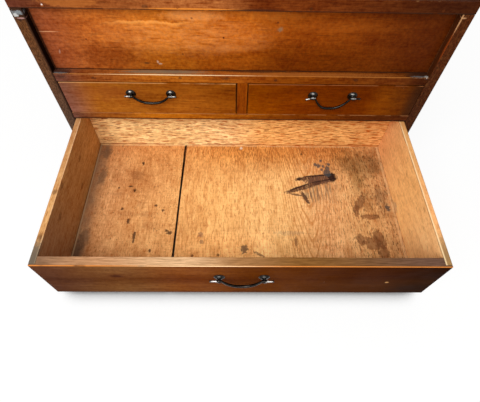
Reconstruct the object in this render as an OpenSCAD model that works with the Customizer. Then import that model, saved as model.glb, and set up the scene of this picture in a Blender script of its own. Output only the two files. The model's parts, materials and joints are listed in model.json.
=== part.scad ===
// Apothecary box: two side boards carry a bottom board, a compartment floor, a set-back front panel
// and a lid that lifts at the front. Two small drawers and one long drawer slide below the
// compartment. The long drawer stands open, and its bail pulls hang down.
// X runs along the front, Y runs from the front to the back and Z is up.
// The origin is the middle of the underside of the case, with the drawers left out of count.

/* [Case] */
// Width of the case over its side boards
case_w = 711; // [600:1:820]
// Depth of the case from its front edges to its rear face
case_d = 381; // [330:1:450]
// Thickness of each side board
side_t = 18.8; // [15:0.2:24]
// Thickness of the bottom board
bottom_t = 19; // [14:0.5:24]
// Height of the rail between the long drawer and the small drawers
rail_t = 16; // [12:0.5:22]
// Width of that rail from front to back
rail_d = 60; // [45:1:90]
// Thickness of the compartment floor, whose front edge is the upper rail
floor_t = 17; // [12:0.5:22]
// Thickness of the divider between the small drawers
divider_t = 20; // [14:0.5:26]
// Width of the runner along each side board
runner_w = 30; // [20:1:45]
// Width of the runner under the divider
centre_runner_w = 64; // [50:1:90]
// Distance of the front panel behind the front edges
panel_inset = 14.5; // [8:0.5:24]
// Thickness of the front panel
panel_t = 14; // [10:0.5:20]
// Height of the front panel above the compartment floor
panel_h = 117.4; // [90:0.2:150]
// Thickness of the back boards
back_t = 12; // [9:0.5:18]
// Width of the rabbet in each side board that holds the back boards
rabbet_w = 9.4; // [6:0.2:13]
// Height of the joint between the two back boards above the middle rail
back_joint_up = 28.8; // [10:0.2:50]

/* [Long drawer] */
// Height of the long drawer
long_h = 120; // [95:1:150]
// How far the long drawer stands open
long_out = 318; // [0:1:325]
// Thickness of its front
long_front_t = 16.4; // [13:0.2:20]
// Thickness of its sides and back
long_side_t = 10.6; // [8:0.2:13]
// Thickness of its bottom boards
long_bottom_t = 6; // [4:0.5:9]
// Gap between its two bottom boards
board_gap = 3; // [1:0.5:6]
// Place of that gap along X at the drawer front
board_gap_front_x = -133; // [-180:1:-80]
// Place of that gap along X at the drawer back
board_gap_back_x = -126; // [-180:1:-80]

/* [Small drawers] */
// Height of the small drawers
small_h = 73.6; // [60:0.2:95]
// Thickness of their fronts
small_front_t = 16; // [12:0.5:20]
// Thickness of their sides and backs
small_side_t = 9.6; // [7:0.2:12]
// Thickness of their bottom boards
small_bottom_t = 5; // [4:0.5:8]

/* [Drawer joints] */
// Wood left in front of the lapped sides at the ends of a drawer front
lip_t = 3.6; // [2.5:0.1:6]
// Depth of the rabbet under a drawer front that holds the bottom boards
bottom_rabbet_d = 8; // [5:0.5:10]
// Depth of the stop blocks behind the drawers
stop_t = 8; // [5:0.5:14]
// Width of each stop block
stop_w = 36; // [20:1:50]
// Height of each stop block
stop_h = 26; // [15:1:40]
// Distance of the long drawer's stops from the side boards
stop_x = 70; // [40:1:120]

/* [Lid] */
// Thickness of the lid
lid_t = 20; // [15:0.5:25]
// Depth of the strip nailed along the lid's front edge
strip_d = 13; // [10:0.5:18]
// Width of each batten under the lid
batten_w = 34; // [24:1:50]
// Thickness of each batten
batten_t = 12; // [9:0.5:16]
// Distance of each batten's middle from the end of the lid
batten_in = 140.5; // [115:0.5:190]
// Room between a batten's ends and the walls of the compartment
batten_room = 12; // [8:1:30]

/* [Hinges] */
// Distance of each hinge's middle from the end of the lid
hinge_in = 115.5; // [95:0.5:160]
// Length of each hinge
hinge_l = 60; // [45:1:75]
// Width of the leaf let into the lid
lid_leaf_d = 22; // [17:1:30]
// Distance of its screws from the lid's rear edge
lid_screw_in = 13.2; // [8:0.2:13.6]
// Thickness of the leaves
leaf_t = 1.6; // [1.2:0.1:2]
// Outer diameter of the knuckles
knuckle_d = 6.4; // [5.6:0.2:7.6]
// Diameter of the hinge pin
hinge_pin_d = 3; // [2.4:0.1:3.4]

/* [Pulls] */
// Distance between the two posts of a pull
post_spacing = 76.2; // [64:0.2:90]
// Height of the posts above the middle of a small drawer front
small_pull_up = 12; // [0:0.5:16]
// How far the small drawers' pulls sit from their middles towards the divider
small_pull_in = 2; // [0:0.5:10]
// Height of the posts above the middle of the long drawer front
long_pull_up = 16; // [0:0.5:30]
// Diameter of the rosettes
rosette_d = 19; // [14:0.5:24]
// Height of a rosette's dome
rosette_t = 3.8; // [2:0.2:3.8]
// Diameter of the ball heads of the posts
ball_d = 7.4; // [6.8:0.2:7.6]
// Distance of the ball's middle from the drawer front
ball_out = 7.6; // [7.6:0.2:10]
// Diameter of a post's neck between the ball and the rosette
neck_d = 5.6; // [5.2:0.2:7]
// Diameter of a post's shank
shank_d = 4; // [3:0.2:5]
// Diameter of a bail's low curve
bail_d = 4.2; // [3.9:0.1:5]
// Diameter of the bends beside the posts
bend_d = 3.8; // [3.5:0.1:4.1]
// Diameter of the bail's ends, which turn in the balls
bail_end_d = 3.4; // [2.8:0.1:3.6]
// Diameter of the upset tips of the bail's ends
bail_tip_d = 4.2; // [3.8:0.1:5]
// Radius of the bends beside the posts
bend_r = 6; // [4:0.5:8]
// Distance from a post's middle to the start of the bend
bend_in = 5.5; // [5:0.5:8]
// Sag of the left small drawer's bail
left_sag = 16.5; // [12:0.5:24]
// Sag of the right small drawer's bail
right_sag = 25; // [14:0.5:28]
// Sag of the long drawer's bail
long_sag = 24.5; // [14:0.5:30]
// Length of wire past the middle of the posts on the left small drawer
left_over = 8.5; // [7:0.5:16]
// Length of wire past the middle of the posts on the right small drawer
right_over = 12; // [7:0.5:16]
// Length of wire past the middle of the posts on the long drawer
long_over = 14; // [7:0.5:18]
// Width of the square nuts
nut_w = 8; // [6.5:0.5:10]
// Thickness of the square nuts
nut_t = 3; // [2:0.2:4]

/* [Nails and screws] */
// Diameter of the nails
nail_d = 2.6; // [2:0.1:3.2]
// Diameter of the nail heads
nail_head_d = 5; // [3.6:0.2:6]
// Thickness of the nail heads
nail_head_t = 1; // [0.6:0.1:1.4]
// Length of the nails in the case
nail_l = 44; // [32:1:55]
// Length of the brads in the drawers and back boards
brad_l = 24; // [19:1:28]
// Distance of the outermost brads from the edges of a drawer's side
brad_margin = 18; // [14:1:24]
// Distance of the outermost nails from the ends of a board
nail_margin = 38; // [25:1:60]
// Height of the lid strip's nails above its lower edge
strip_nail_z = 5.5; // [5:0.5:9]
// Distance of the lid strip's outer nails from its ends
strip_nail_in = 52.5; // [30:0.5:110]
// Diameter of the screws
screw_d = 2.6; // [2:0.1:3]
// Diameter of the screw heads
screw_head_d = 5; // [4:0.2:6]
// Length of the screws in the hinges
screw_l = 11; // [8:0.5:14]
// Distance between the screws of a hinge leaf
screw_spacing = 22; // [16:1:24]

/* [Clearances] */
// Gap under a drawer and under the lid
run_gap = 0.3; // [0.2:0.05:0.6]
// Gap above a drawer
top_gap = 1.9; // [1:0.1:3]
// Gap at each side of the long drawer
long_gap = 1.5; // [0.8:0.1:3]
// Gap at each side of a small drawer
small_gap = 1.2; // [0.8:0.1:2.5]
// Room round a shank, nail or screw in its hole
hole_room = 0.05; // [0.03:0.01:0.1]
// Room between a bail's wire and the hole in the ball
bail_room = 0.25; // [0.15:0.05:0.4]
// Room between hinge parts that turn
hinge_room = 0.25; // [0.15:0.05:0.4]

/* [Hidden] */
$fn = 48;
// Depth by which pieces of one solid run into each other
eps = 0.01;
// How far a cut runs past the face it opens
past = 1;

varnish = [0.56, 0.27, 0.10];
edge_brown = [0.27, 0.17, 0.12];
bare_wood = [0.80, 0.56, 0.34];
back_brown = [0.45, 0.30, 0.19];
iron = [0.14, 0.13, 0.13];
steel = [0.55, 0.55, 0.54];

// Places along X
half_w = case_w / 2;
inner_x = half_w - side_t;
long_w = 2 * (inner_x - long_gap);
bay_w = inner_x - divider_t / 2;
small_w = bay_w - 2 * small_gap;
small_x = (divider_t + bay_w) / 2;

// Places along Y
front_y = -case_d / 2;
rear_y = case_d / 2;
back_y = rear_y - back_t;
panel_back_y = front_y + panel_inset + panel_t;
drawer_l = case_d - back_t - stop_t;

// Places along Z
long_z = bottom_t + run_gap;
rail_z = long_z + long_h + top_gap;
rail_top = rail_z + rail_t;
small_z = rail_top + run_gap;
floor_z = small_z + small_h + top_gap;
ledge_z = floor_z + floor_t;
side_top = ledge_z + panel_h;
lid_z = side_top + run_gap;
back_joint_z = rail_top + back_joint_up;

// Hinge line
hinge_x = half_w - hinge_in;
hinge_y = rear_y + knuckle_d / 2 + hinge_room;
hinge_z = side_top + run_gap / 2;
knuckles = 5;
leaf_screws = 3;

// Nail rows
case_row = 4;
batten_row = 3;
strip_row = 4;
panel_row = 2;
divider_row = 3;
end_row = 2;
brad_row = 3;
bottom_row = 4;

// Number n of places between a and b, both ends counted
function spread(a, b, n) = [for (i = [0 : n - 1]) a + (b - a) * i / (n - 1)];

// A block between two opposite corners
module block(lo, hi) {
    translate(lo) cube(hi - lo);
}

module both_sides() {
    children();
    mirror([1, 0, 0]) children();
}

// A nail along +Z, with its head's outer face at the origin
module nail(length, room = 0) {
    cylinder(d = nail_d + 2 * room, h = length + room);
    cylinder(d = nail_head_d + 2 * room, h = nail_head_t + room);
}

// A countersunk screw along +Z, with its head's outer face at the origin
module screw(length, room = 0) {
    head_h = (screw_head_d - screw_d) / 2;
    cylinder(d = screw_d + 2 * room, h = length + room);
    cylinder(d1 = screw_head_d + 2 * room, d2 = screw_d + 2 * room, h = head_h);
}

// Places where nails go in from outside each side board: [y, z]
side_nail_y = spread(front_y + nail_margin, back_y - nail_margin, case_row);
panel_nail_z = spread(ledge_z + nail_margin / 2, side_top - nail_margin / 2, panel_row);
side_nail_spots = concat(
    [for (y = side_nail_y) [y, bottom_t / 2]],
    [for (y = side_nail_y) [y, floor_z + floor_t / 2]],
    [[front_y + rail_d / 2, rail_z + rail_t / 2]],
    [for (z = panel_nail_z) [front_y + panel_inset + panel_t / 2, z]]
);

module at_side_nails() {
    both_sides()
        for (spot = side_nail_spots)
            translate([-half_w, spot[0], spot[1]]) rotate([0, 90, 0]) children();
}

// Places where nails go down through the compartment floor into the divider
module at_divider_nails() {
    for (y = spread(panel_back_y + nail_margin, back_y - nail_margin, divider_row))
        translate([0, y, ledge_z]) rotate([180, 0, 0]) children();
}

// Places where brads go in from behind: [x, z]
back_end_x = inner_x + rabbet_w / 2;
back_row_x = spread(nail_margin - inner_x, inner_x - nail_margin, case_row);
upper_end_z = spread(back_joint_z + nail_margin, side_top - nail_margin, end_row);
lower_end_z = spread(nail_margin, back_joint_z - nail_margin, end_row);
back_nail_spots = concat(
    [for (x = back_row_x) [x, floor_z + floor_t / 2]],
    [for (x = back_row_x) [x, bottom_t / 2]],
    [for (z = concat(upper_end_z, lower_end_z), s = [-1, 1]) [s * back_end_x, z]]
);

module at_back_nails() {
    for (spot = back_nail_spots)
        translate([spot[0], rear_y, spot[1]]) rotate([90, 0, 0]) children();
}

// Case

module side_board() {
    difference() {
        block([-half_w, front_y, 0], [-inner_x, rear_y, side_top]);
        block(
            [-inner_x - rabbet_w, back_y, -past],
            [-inner_x + past, rear_y + past, side_top + past]
        );
        at_side_nails() nail(nail_l, hole_room);
        at_back_nails() nail(brad_l, hole_room);
    }
}

module side_left() {
    color(edge_brown) side_board();
}

module side_right() {
    color(edge_brown) mirror([1, 0, 0]) side_board();
}

module bottom_board() {
    color(back_brown)
    difference() {
        block([-inner_x, front_y, 0], [inner_x, back_y, bottom_t]);
        at_side_nails() nail(nail_l, hole_room);
        at_back_nails() nail(brad_l, hole_room);
    }
}

module compartment_floor() {
    color(varnish)
    difference() {
        block([-inner_x, front_y, floor_z], [inner_x, back_y, ledge_z]);
        at_side_nails() nail(nail_l, hole_room);
        at_back_nails() nail(brad_l, hole_room);
        at_divider_nails() nail(nail_l, hole_room);
    }
}

module middle_rail() {
    color(varnish)
    difference() {
        block([-inner_x, front_y, rail_z], [inner_x, front_y + rail_d, rail_top]);
        at_side_nails() nail(nail_l, hole_room);
    }
}

module drawer_divider() {
    color(varnish)
    difference() {
        block([-divider_t / 2, front_y, rail_top], [divider_t / 2, back_y, floor_z]);
        at_divider_nails() nail(nail_l, hole_room);
    }
}

module runner_left() {
    color(bare_wood)
        block([-inner_x, front_y + rail_d, rail_z], [-inner_x + runner_w, back_y, rail_top]);
}

module runner_right() {
    color(bare_wood)
        block([inner_x - runner_w, front_y + rail_d, rail_z], [inner_x, back_y, rail_top]);
}

module runner_centre() {
    color(bare_wood)
        block(
            [-centre_runner_w / 2, front_y + rail_d, rail_z],
            [centre_runner_w / 2, back_y, rail_top]
        );
}

module front_panel() {
    color(varnish)
    difference() {
        block(
            [-inner_x, front_y + panel_inset, ledge_z],
            [inner_x, panel_back_y, side_top]
        );
        at_side_nails() nail(nail_l, hole_room);
    }
}

module back_board(z0, z1) {
    difference() {
        block([-inner_x - rabbet_w, back_y, z0], [inner_x + rabbet_w, rear_y, z1]);
        at_back_nails() nail(brad_l, hole_room);
        both_hinges() case_leaf_pocket();
        both_hinges() at_case_screws() screw(screw_l, hole_room);
    }
}

module back_board_upper() {
    color(back_brown) back_board(back_joint_z, side_top);
}

module back_board_lower() {
    color(back_brown) back_board(0, back_joint_z);
}

// One stop block per small drawer and two for the long drawer, fixed to the back boards
module drawer_stops() {
    color(bare_wood) {
        for (x = [-small_x, small_x])
            translate([x, back_y, rail_top + small_h / 2]) stop_block();
        for (x = [stop_x - inner_x, inner_x - stop_x])
            translate([x, back_y, bottom_t + long_h / 2]) stop_block();
    }
}

module stop_block() {
    block([-stop_w / 2, run_gap - stop_t, -stop_h / 2], [stop_w / 2, 0, stop_h / 2]);
}

module case_nails() {
    color(iron) {
        at_side_nails() nail(nail_l);
        at_divider_nails() nail(nail_l);
    }
}

module back_nails() {
    color(iron) at_back_nails() nail(brad_l);
}

// Lid

batten_x = half_w - batten_in;

module at_strip_nails() {
    for (x = spread(strip_nail_in - half_w, half_w - strip_nail_in, strip_row))
        translate([x, front_y, lid_z + strip_nail_z]) rotate([-90, 0, 0]) children();
}

batten_front_y = panel_back_y + batten_room;
batten_rear_y = back_y - batten_room;

module at_batten_screws() {
    for (x = [-batten_x, batten_x])
        for (y = spread(batten_front_y + nail_margin, batten_rear_y - nail_margin, batten_row))
            translate([x, y, lid_z - batten_t]) children();
}

batten_screw_l = batten_t + lid_t / 2;

module lid_board() {
    color(varnish)
    difference() {
        block([-half_w, front_y + strip_d, lid_z], [half_w, rear_y, lid_z + lid_t]);
        at_strip_nails() nail(nail_l, hole_room);
        at_batten_screws() screw(batten_screw_l, hole_room);
        both_hinges() lid_leaf_pocket();
        both_hinges() at_lid_screws() screw(screw_l, hole_room);
    }
}

module lid_front_strip() {
    color(varnish)
    difference() {
        block([-half_w, front_y, lid_z], [half_w, front_y + strip_d, lid_z + lid_t]);
        at_strip_nails() nail(nail_l, hole_room);
    }
}

module batten(x) {
    difference() {
        block(
            [x - batten_w / 2, batten_front_y, lid_z - batten_t],
            [x + batten_w / 2, batten_rear_y, lid_z]
        );
        at_batten_screws() screw(batten_screw_l, hole_room);
    }
}

module lid_batten_left() {
    color(bare_wood) batten(-batten_x);
}

module lid_batten_right() {
    color(bare_wood) batten(batten_x);
}

module strip_nails() {
    color(iron) at_strip_nails() nail(nail_l);
}

module batten_screws() {
    color(iron) at_batten_screws() screw(batten_screw_l);
}

// Hinges, each drawn round its own middle on the hinge line

knuckle_l = hinge_l / knuckles;

module both_hinges() {
    for (x = [-hinge_x, hinge_x]) translate([x, hinge_y, hinge_z]) children();
}

// The knuckles with an even or an odd number, widened by a room at each end
module knuckle_zone(odd, room) {
    for (i = [odd : 2 : knuckles - 1])
        translate([-hinge_l / 2 + i * knuckle_l - room, 0, 0]) rotate([0, 90, 0])
            cylinder(d = knuckle_d + 2 * room, h = knuckle_l + 2 * room);
}

module hinge_bore() {
    translate([-hinge_l / 2 - past, 0, 0]) rotate([0, 90, 0])
        cylinder(d = hinge_pin_d + 2 * hole_room, h = hinge_l + 2 * past);
}

// Knuckles and the tongues that join them to a plate between the heights z0 and z1
module leaf(odd, reach, z0, z1) {
    edge = -(knuckle_d / 2 + hinge_room);
    difference() {
        union() {
            knuckle_zone(odd, -hinge_room / 2);
            block([-hinge_l / 2, edge - reach, z0], [hinge_l / 2, edge, z1]);
            for (i = [odd : 2 : knuckles - 1])
                translate([-hinge_l / 2 + i * knuckle_l, 0, 0])
                    block([hinge_room / 2, edge - eps, z0], [knuckle_l - hinge_room / 2, 0, z1]);
        }
        hinge_bore();
    }
}

lid_leaf_z = run_gap / 2;
case_leaf_z = -run_gap / 2 - leaf_t;

module case_leaf() {
    difference() {
        leaf(0, back_t, case_leaf_z, case_leaf_z + leaf_t);
        at_case_screws() screw(screw_l, hole_room);
    }
}

module lid_leaf() {
    difference() {
        leaf(1, lid_leaf_d, lid_leaf_z, lid_leaf_z + leaf_t);
        at_lid_screws() screw(screw_l, hole_room);
    }
}

module case_leaf_pocket() {
    edge = -(knuckle_d / 2 + hinge_room);
    block(
        [-hinge_l / 2, edge - back_t, case_leaf_z],
        [hinge_l / 2, edge + past, past]
    );
}

module lid_leaf_pocket() {
    edge = -(knuckle_d / 2 + hinge_room);
    block(
        [-hinge_l / 2, edge - lid_leaf_d, -past],
        [hinge_l / 2, edge + past, lid_leaf_z + leaf_t]
    );
}

module at_case_screws() {
    for (x = spread(-screw_spacing, screw_spacing, leaf_screws))
        translate([x, -(knuckle_d / 2 + hinge_room) - back_t / 2, case_leaf_z + leaf_t])
            rotate([180, 0, 0]) children();
}

module at_lid_screws() {
    for (x = spread(-screw_spacing, screw_spacing, leaf_screws))
        translate([x, -(knuckle_d / 2 + hinge_room) - lid_screw_in, lid_leaf_z])
            children();
}

module hinge_left_case_leaf() {
    color(iron) translate([-hinge_x, hinge_y, hinge_z]) case_leaf();
}

module hinge_right_case_leaf() {
    color(iron) translate([hinge_x, hinge_y, hinge_z]) case_leaf();
}

module hinge_left_lid_leaf() {
    color(iron) translate([-hinge_x, hinge_y, hinge_z]) lid_leaf();
}

module hinge_right_lid_leaf() {
    color(iron) translate([hinge_x, hinge_y, hinge_z]) lid_leaf();
}

module hinge_pins() {
    color(steel)
        both_hinges()
            translate([-hinge_l / 2, 0, 0]) rotate([0, 90, 0])
                cylinder(d = hinge_pin_d, h = hinge_l);
}

module hinge_case_screws() {
    color(iron) both_hinges() at_case_screws() screw(screw_l);
}

module hinge_lid_screws() {
    color(iron) both_hinges() at_lid_screws() screw(screw_l);
}

// Drawers, each drawn with its front's lower edge middle at the origin and its body along +Y

module at_posts(z) {
    for (x = [-post_spacing / 2, post_spacing / 2]) translate([x, 0, z]) children();
}

// Brads through the sides of a drawer into the ends of its front and back
module at_side_brads(w, h, t, wall, bottom) {
    both_sides()
        for (y = [(lip_t + t) / 2, drawer_l - wall / 2])
            for (z = spread(bottom + brad_margin, h - brad_margin, brad_row))
                translate([-w / 2, y, z]) rotate([0, 90, 0]) children();
}

// Brads up through the bottom boards into the sides
module at_bottom_brads(w, wall) {
    both_sides()
        for (y = spread(nail_margin, drawer_l - nail_margin, bottom_row))
            translate([(wall - w) / 2, y, 0]) children();
}

module drawer_front(w, h, t, wall, bottom, pull_x, pull_z) {
    difference() {
        block([-w / 2, 0, 0], [w / 2, t, h]);
        both_sides()
            block([-w / 2 - past, lip_t, bottom], [-w / 2 + wall, t + past, h + past]);
        block([-w / 2 - past, t - bottom_rabbet_d, -past], [w / 2 + past, t + past, bottom]);
        translate([pull_x, 0, 0]) at_posts(pull_z) post_hole(0, t);
        at_side_brads(w, h, t, wall, bottom) nail(brad_l, hole_room);
    }
}

module drawer_side(w, h, t, wall, bottom) {
    difference() {
        block([-w / 2, lip_t, bottom], [-w / 2 + wall, drawer_l, h]);
        at_side_brads(w, h, t, wall, bottom) nail(brad_l, hole_room);
        at_bottom_brads(w, wall) nail(brad_l, hole_room);
    }
}

module drawer_back(w, h, t, wall, bottom) {
    difference() {
        block([-w / 2 + wall, drawer_l - wall, bottom], [w / 2 - wall, drawer_l, h]);
        at_side_brads(w, h, t, wall, bottom) nail(brad_l, hole_room);
    }
}

module drawer_brads(w, h, t, wall, bottom) {
    at_side_brads(w, h, t, wall, bottom) nail(brad_l);
    at_bottom_brads(w, wall) nail(brad_l);
}

// Pulls, each drawn with the middle of its posts at the origin and the drawer front along +Y

// Hole for a post's shank between the depths y0 and y1
module post_hole(y0, y1) {
    translate([0, y0 - past, 0]) rotate([-90, 0, 0])
        cylinder(d = shank_d + 2 * hole_room, h = y1 - y0 + 2 * past);
}

module rosettes() {
    dome_r = (pow(rosette_d / 2, 2) + pow(rosette_t, 2)) / (2 * rosette_t);
    at_posts(0)
        difference() {
            intersection() {
                translate([0, dome_r - rosette_t, 0]) sphere(r = dome_r, $fn = 96);
                block([-rosette_d, -rosette_t - past, -rosette_d], [rosette_d, 0, rosette_d]);
            }
            post_hole(-rosette_t, 0);
        }
}

module posts(front_t) {
    at_posts(0)
        translate([0, -ball_out, 0]) rotate([-90, 0, 0]) rotate([0, 0, 90])
            difference() {
                union() {
                    sphere(d = ball_d);
                    cylinder(d = neck_d, h = ball_out - rosette_t);
                    cylinder(d = shank_d, h = ball_out + front_t + 2 * nut_t);
                }
                translate([0, -ball_d / 2 - past, 0]) rotate([-90, 0, 0])
                    cylinder(d = bail_end_d + 2 * bail_room, h = ball_d + 2 * past);
            }
}

module nuts(front_t) {
    at_posts(0)
        difference() {
            block([-nut_w / 2, front_t, -nut_w / 2], [nut_w / 2, front_t + nut_t, nut_w / 2]);
            post_hole(front_t, front_t + nut_t);
        }
}

// Part of a ring in the plane of the bail, round a middle, from one angle over a turn
module wire_arc(middle, radius, from, turn, d) {
    translate([middle[0], 0, middle[1]]) rotate([90, 0, 0]) rotate([0, 0, from])
        rotate_extrude(angle = turn) translate([radius, 0]) circle(d = d);
}

// A bail: its low curve, a bend beside each post and the straight ends in the posts.
// Each thinner stretch starts a little inside the thicker one.
module bail(sag, over) {
    span = post_spacing / 2 - bend_in;
    lean = 2 * atan(sag / span);
    curve_r = span / sin(lean) - bend_r;
    lap = 0.5;
    lap_turn = lap / bend_r * 180 / PI;
    translate([0, -ball_out, 0]) {
        wire_arc([0, curve_r - sag], curve_r, -90 - lean, 2 * lean, bail_d);
        both_sides() {
            wire_arc([span, -bend_r], bend_r, 90, lean + lap_turn, bend_d);
            translate([span - lap, 0, 0]) rotate([0, 90, 0])
                cylinder(d = bail_end_d, h = bend_in + over + lap);
            translate([post_spacing / 2 + over, 0, 0]) rotate([0, 90, 0]) sphere(d = bail_tip_d);
        }
    }
}

// Long drawer

long_pull_z = long_h / 2 + long_pull_up;

module at_long() {
    translate([0, front_y - long_out, long_z]) children();
}

module at_long_pull() {
    at_long() translate([0, 0, long_pull_z]) children();
}

module long_front() {
    color(varnish)
        at_long()
            drawer_front(
                long_w, long_h, long_front_t, long_side_t, long_bottom_t, 0, long_pull_z
            );
}

module long_side() {
    drawer_side(long_w, long_h, long_front_t, long_side_t, long_bottom_t);
}

module long_side_left() {
    color(bare_wood) at_long() long_side();
}

module long_side_right() {
    color(bare_wood) at_long() mirror([1, 0, 0]) long_side();
}

module long_back() {
    color(bare_wood)
        at_long() drawer_back(long_w, long_h, long_front_t, long_side_t, long_bottom_t);
}

// A bottom board between its outer edge and one edge of the slanting gap
module long_bottom(outer_x, gap_side) {
    y0 = long_front_t - bottom_rabbet_d;
    shift = gap_side * board_gap / 2;
    difference() {
        linear_extrude(long_bottom_t)
            polygon([
                [outer_x, y0],
                [board_gap_front_x + shift, y0],
                [board_gap_back_x + shift, drawer_l],
                [outer_x, drawer_l]
            ]);
        at_bottom_brads(long_w, long_side_t) nail(brad_l, hole_room);
    }
}

module long_bottom_left() {
    color(bare_wood) at_long() long_bottom(-long_w / 2, -1);
}

module long_bottom_right() {
    color(bare_wood) at_long() long_bottom(long_w / 2, 1);
}

module long_brads() {
    color(iron)
        at_long() drawer_brads(long_w, long_h, long_front_t, long_side_t, long_bottom_t);
}

module long_rosettes() {
    color(iron) at_long_pull() rosettes();
}

module long_posts() {
    color(iron) at_long_pull() posts(long_front_t);
}

module long_nuts() {
    color(steel) at_long_pull() nuts(long_front_t);
}

module long_bail() {
    color(iron) at_long_pull() bail(long_sag, long_over);
}

// Small drawers, side -1 for the left one and 1 for the right one

small_pull_z = small_h / 2 + small_pull_up;

module at_small(side) {
    translate([side * small_x, front_y, small_z]) children();
}

module at_small_pull(side) {
    at_small(side) translate([-side * small_pull_in, 0, small_pull_z]) children();
}

module small_front(side) {
    color(varnish)
        at_small(side)
            drawer_front(
                small_w, small_h, small_front_t, small_side_t, small_bottom_t,
                -side * small_pull_in, small_pull_z
            );
}

module small_side() {
    drawer_side(small_w, small_h, small_front_t, small_side_t, small_bottom_t);
}

module small_side_left(side) {
    color(bare_wood) at_small(side) small_side();
}

module small_side_right(side) {
    color(bare_wood) at_small(side) mirror([1, 0, 0]) small_side();
}

module small_back(side) {
    color(bare_wood)
        at_small(side) drawer_back(small_w, small_h, small_front_t, small_side_t, small_bottom_t);
}

module small_bottom(side) {
    color(bare_wood)
        at_small(side)
            difference() {
                block(
                    [-small_w / 2, small_front_t - bottom_rabbet_d, 0],
                    [small_w / 2, drawer_l, small_bottom_t]
                );
                at_bottom_brads(small_w, small_side_t) nail(brad_l, hole_room);
            }
}

module small_brads(side) {
    color(iron)
        at_small(side)
            drawer_brads(small_w, small_h, small_front_t, small_side_t, small_bottom_t);
}

module small_rosettes(side) {
    color(iron) at_small_pull(side) rosettes();
}

module small_posts(side) {
    color(iron) at_small_pull(side) posts(small_front_t);
}

module small_nuts(side) {
    color(steel) at_small_pull(side) nuts(small_front_t);
}

module small_bail(side, sag, over) {
    color(iron) at_small_pull(side) bail(sag, over);
}

side_left();
side_right();
bottom_board();
compartment_floor();
middle_rail();
drawer_divider();
runner_left();
runner_right();
runner_centre();
front_panel();
back_board_upper();
back_board_lower();
drawer_stops();
case_nails();
back_nails();
lid_board();
lid_front_strip();
lid_batten_left();
lid_batten_right();
strip_nails();
batten_screws();
hinge_left_case_leaf();
hinge_right_case_leaf();
hinge_left_lid_leaf();
hinge_right_lid_leaf();
hinge_pins();
hinge_case_screws();
hinge_lid_screws();
long_front();
long_side_left();
long_side_right();
long_back();
long_bottom_left();
long_bottom_right();
long_brads();
long_rosettes();
long_posts();
long_nuts();
long_bail();
small_front(-1);  // left_front
small_side_left(-1);  // left_side_left
small_side_right(-1);  // left_side_right
small_back(-1);  // left_back
small_bottom(-1);  // left_bottom
small_brads(-1);  // left_brads
small_rosettes(-1);  // left_rosettes
small_posts(-1);  // left_posts
small_nuts(-1);  // left_nuts
small_bail(-1, left_sag, left_over);  // left_bail
small_front(1);  // right_front
small_side_left(1);  // right_side_left
small_side_right(1);  // right_side_right
small_back(1);  // right_back
small_bottom(1);  // right_bottom
small_brads(1);  // right_brads
small_rosettes(1);  // right_rosettes
small_posts(1);  // right_posts
small_nuts(1);  // right_nuts
small_bail(1, right_sag, right_over);  // right_bail
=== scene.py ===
"""An old apothecary box of varnished softwood, with its long drawer pulled out.

Pieces are placed from the boxes of the CAD nodes, in metres. Materials measure in millimetres,
in the same frame: X to the right, Y into the box, Z up from the middle of its underside.
"""

import json
import math
from itertools import product

import bmesh
import bpy
from mathutils import Matrix, Vector, noise


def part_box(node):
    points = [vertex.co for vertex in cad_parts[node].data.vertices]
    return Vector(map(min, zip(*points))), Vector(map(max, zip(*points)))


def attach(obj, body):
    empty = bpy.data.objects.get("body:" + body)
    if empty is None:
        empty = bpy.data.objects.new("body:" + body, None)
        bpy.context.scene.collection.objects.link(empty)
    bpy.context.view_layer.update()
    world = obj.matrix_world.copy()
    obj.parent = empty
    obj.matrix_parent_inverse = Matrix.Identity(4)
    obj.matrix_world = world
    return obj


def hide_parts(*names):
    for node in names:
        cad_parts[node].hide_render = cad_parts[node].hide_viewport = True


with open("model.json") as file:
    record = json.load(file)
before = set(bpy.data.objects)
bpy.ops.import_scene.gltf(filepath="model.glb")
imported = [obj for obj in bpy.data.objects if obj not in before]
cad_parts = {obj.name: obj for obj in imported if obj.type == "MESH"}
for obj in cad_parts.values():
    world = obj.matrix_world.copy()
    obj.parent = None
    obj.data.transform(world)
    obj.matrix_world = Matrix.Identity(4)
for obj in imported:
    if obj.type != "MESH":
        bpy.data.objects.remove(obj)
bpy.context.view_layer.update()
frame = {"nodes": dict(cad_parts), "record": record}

MM = 0.001
FAR = 1e6
SIDES = ("left", "right")
NODES = frame["nodes"]
RECORD = frame["record"]
BODY_OF = {node: body for body, nodes in RECORD["behaviour"]["bodies"].items() for node in nodes}


# Camera, at the photograph's place

CAMERA_PLACE = Vector((-13.47, -737.8, 682.34)) * MM
CAMERA_YAW = math.radians(1.65)
CAMERA_PITCH = math.radians(-57.03)
CAMERA_ROLL = math.radians(1.76)
CAMERA_LENS = 27.72
SENSOR_WIDTH = 36.0
NEAREST = 0.01


def add_object(name, data):
    thing = bpy.data.objects.new(name, data)
    bpy.context.scene.collection.objects.link(thing)
    return thing


def make_camera():
    data = bpy.data.cameras.new("camera")
    data.sensor_fit = "HORIZONTAL"
    data.sensor_width = SENSOR_WIDTH
    data.lens = CAMERA_LENS
    data.clip_start = NEAREST
    camera = add_object("camera", data)
    camera.matrix_world = Matrix.Translation(CAMERA_PLACE)
    for angle, axis in ((-CAMERA_YAW, "Z"), (CAMERA_PITCH + math.pi / 2, "X"), (CAMERA_ROLL, "Z")):
        camera.matrix_world @= Matrix.Rotation(angle, 4, axis)
    bpy.context.scene.camera = camera


# Node trees. Colours are six-digit web colours, or linear factors to multiply by

def srgb(code):
    """Linear colour of a six-digit web colour."""
    parts = [int(code[i:i + 2], 16) / 255 for i in (0, 2, 4)]
    linear = [part / 12.92 if part <= 0.04045 else ((part + 0.055) / 1.055) ** 2.4 for part in parts]
    return (*linear, 1.0)


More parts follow.
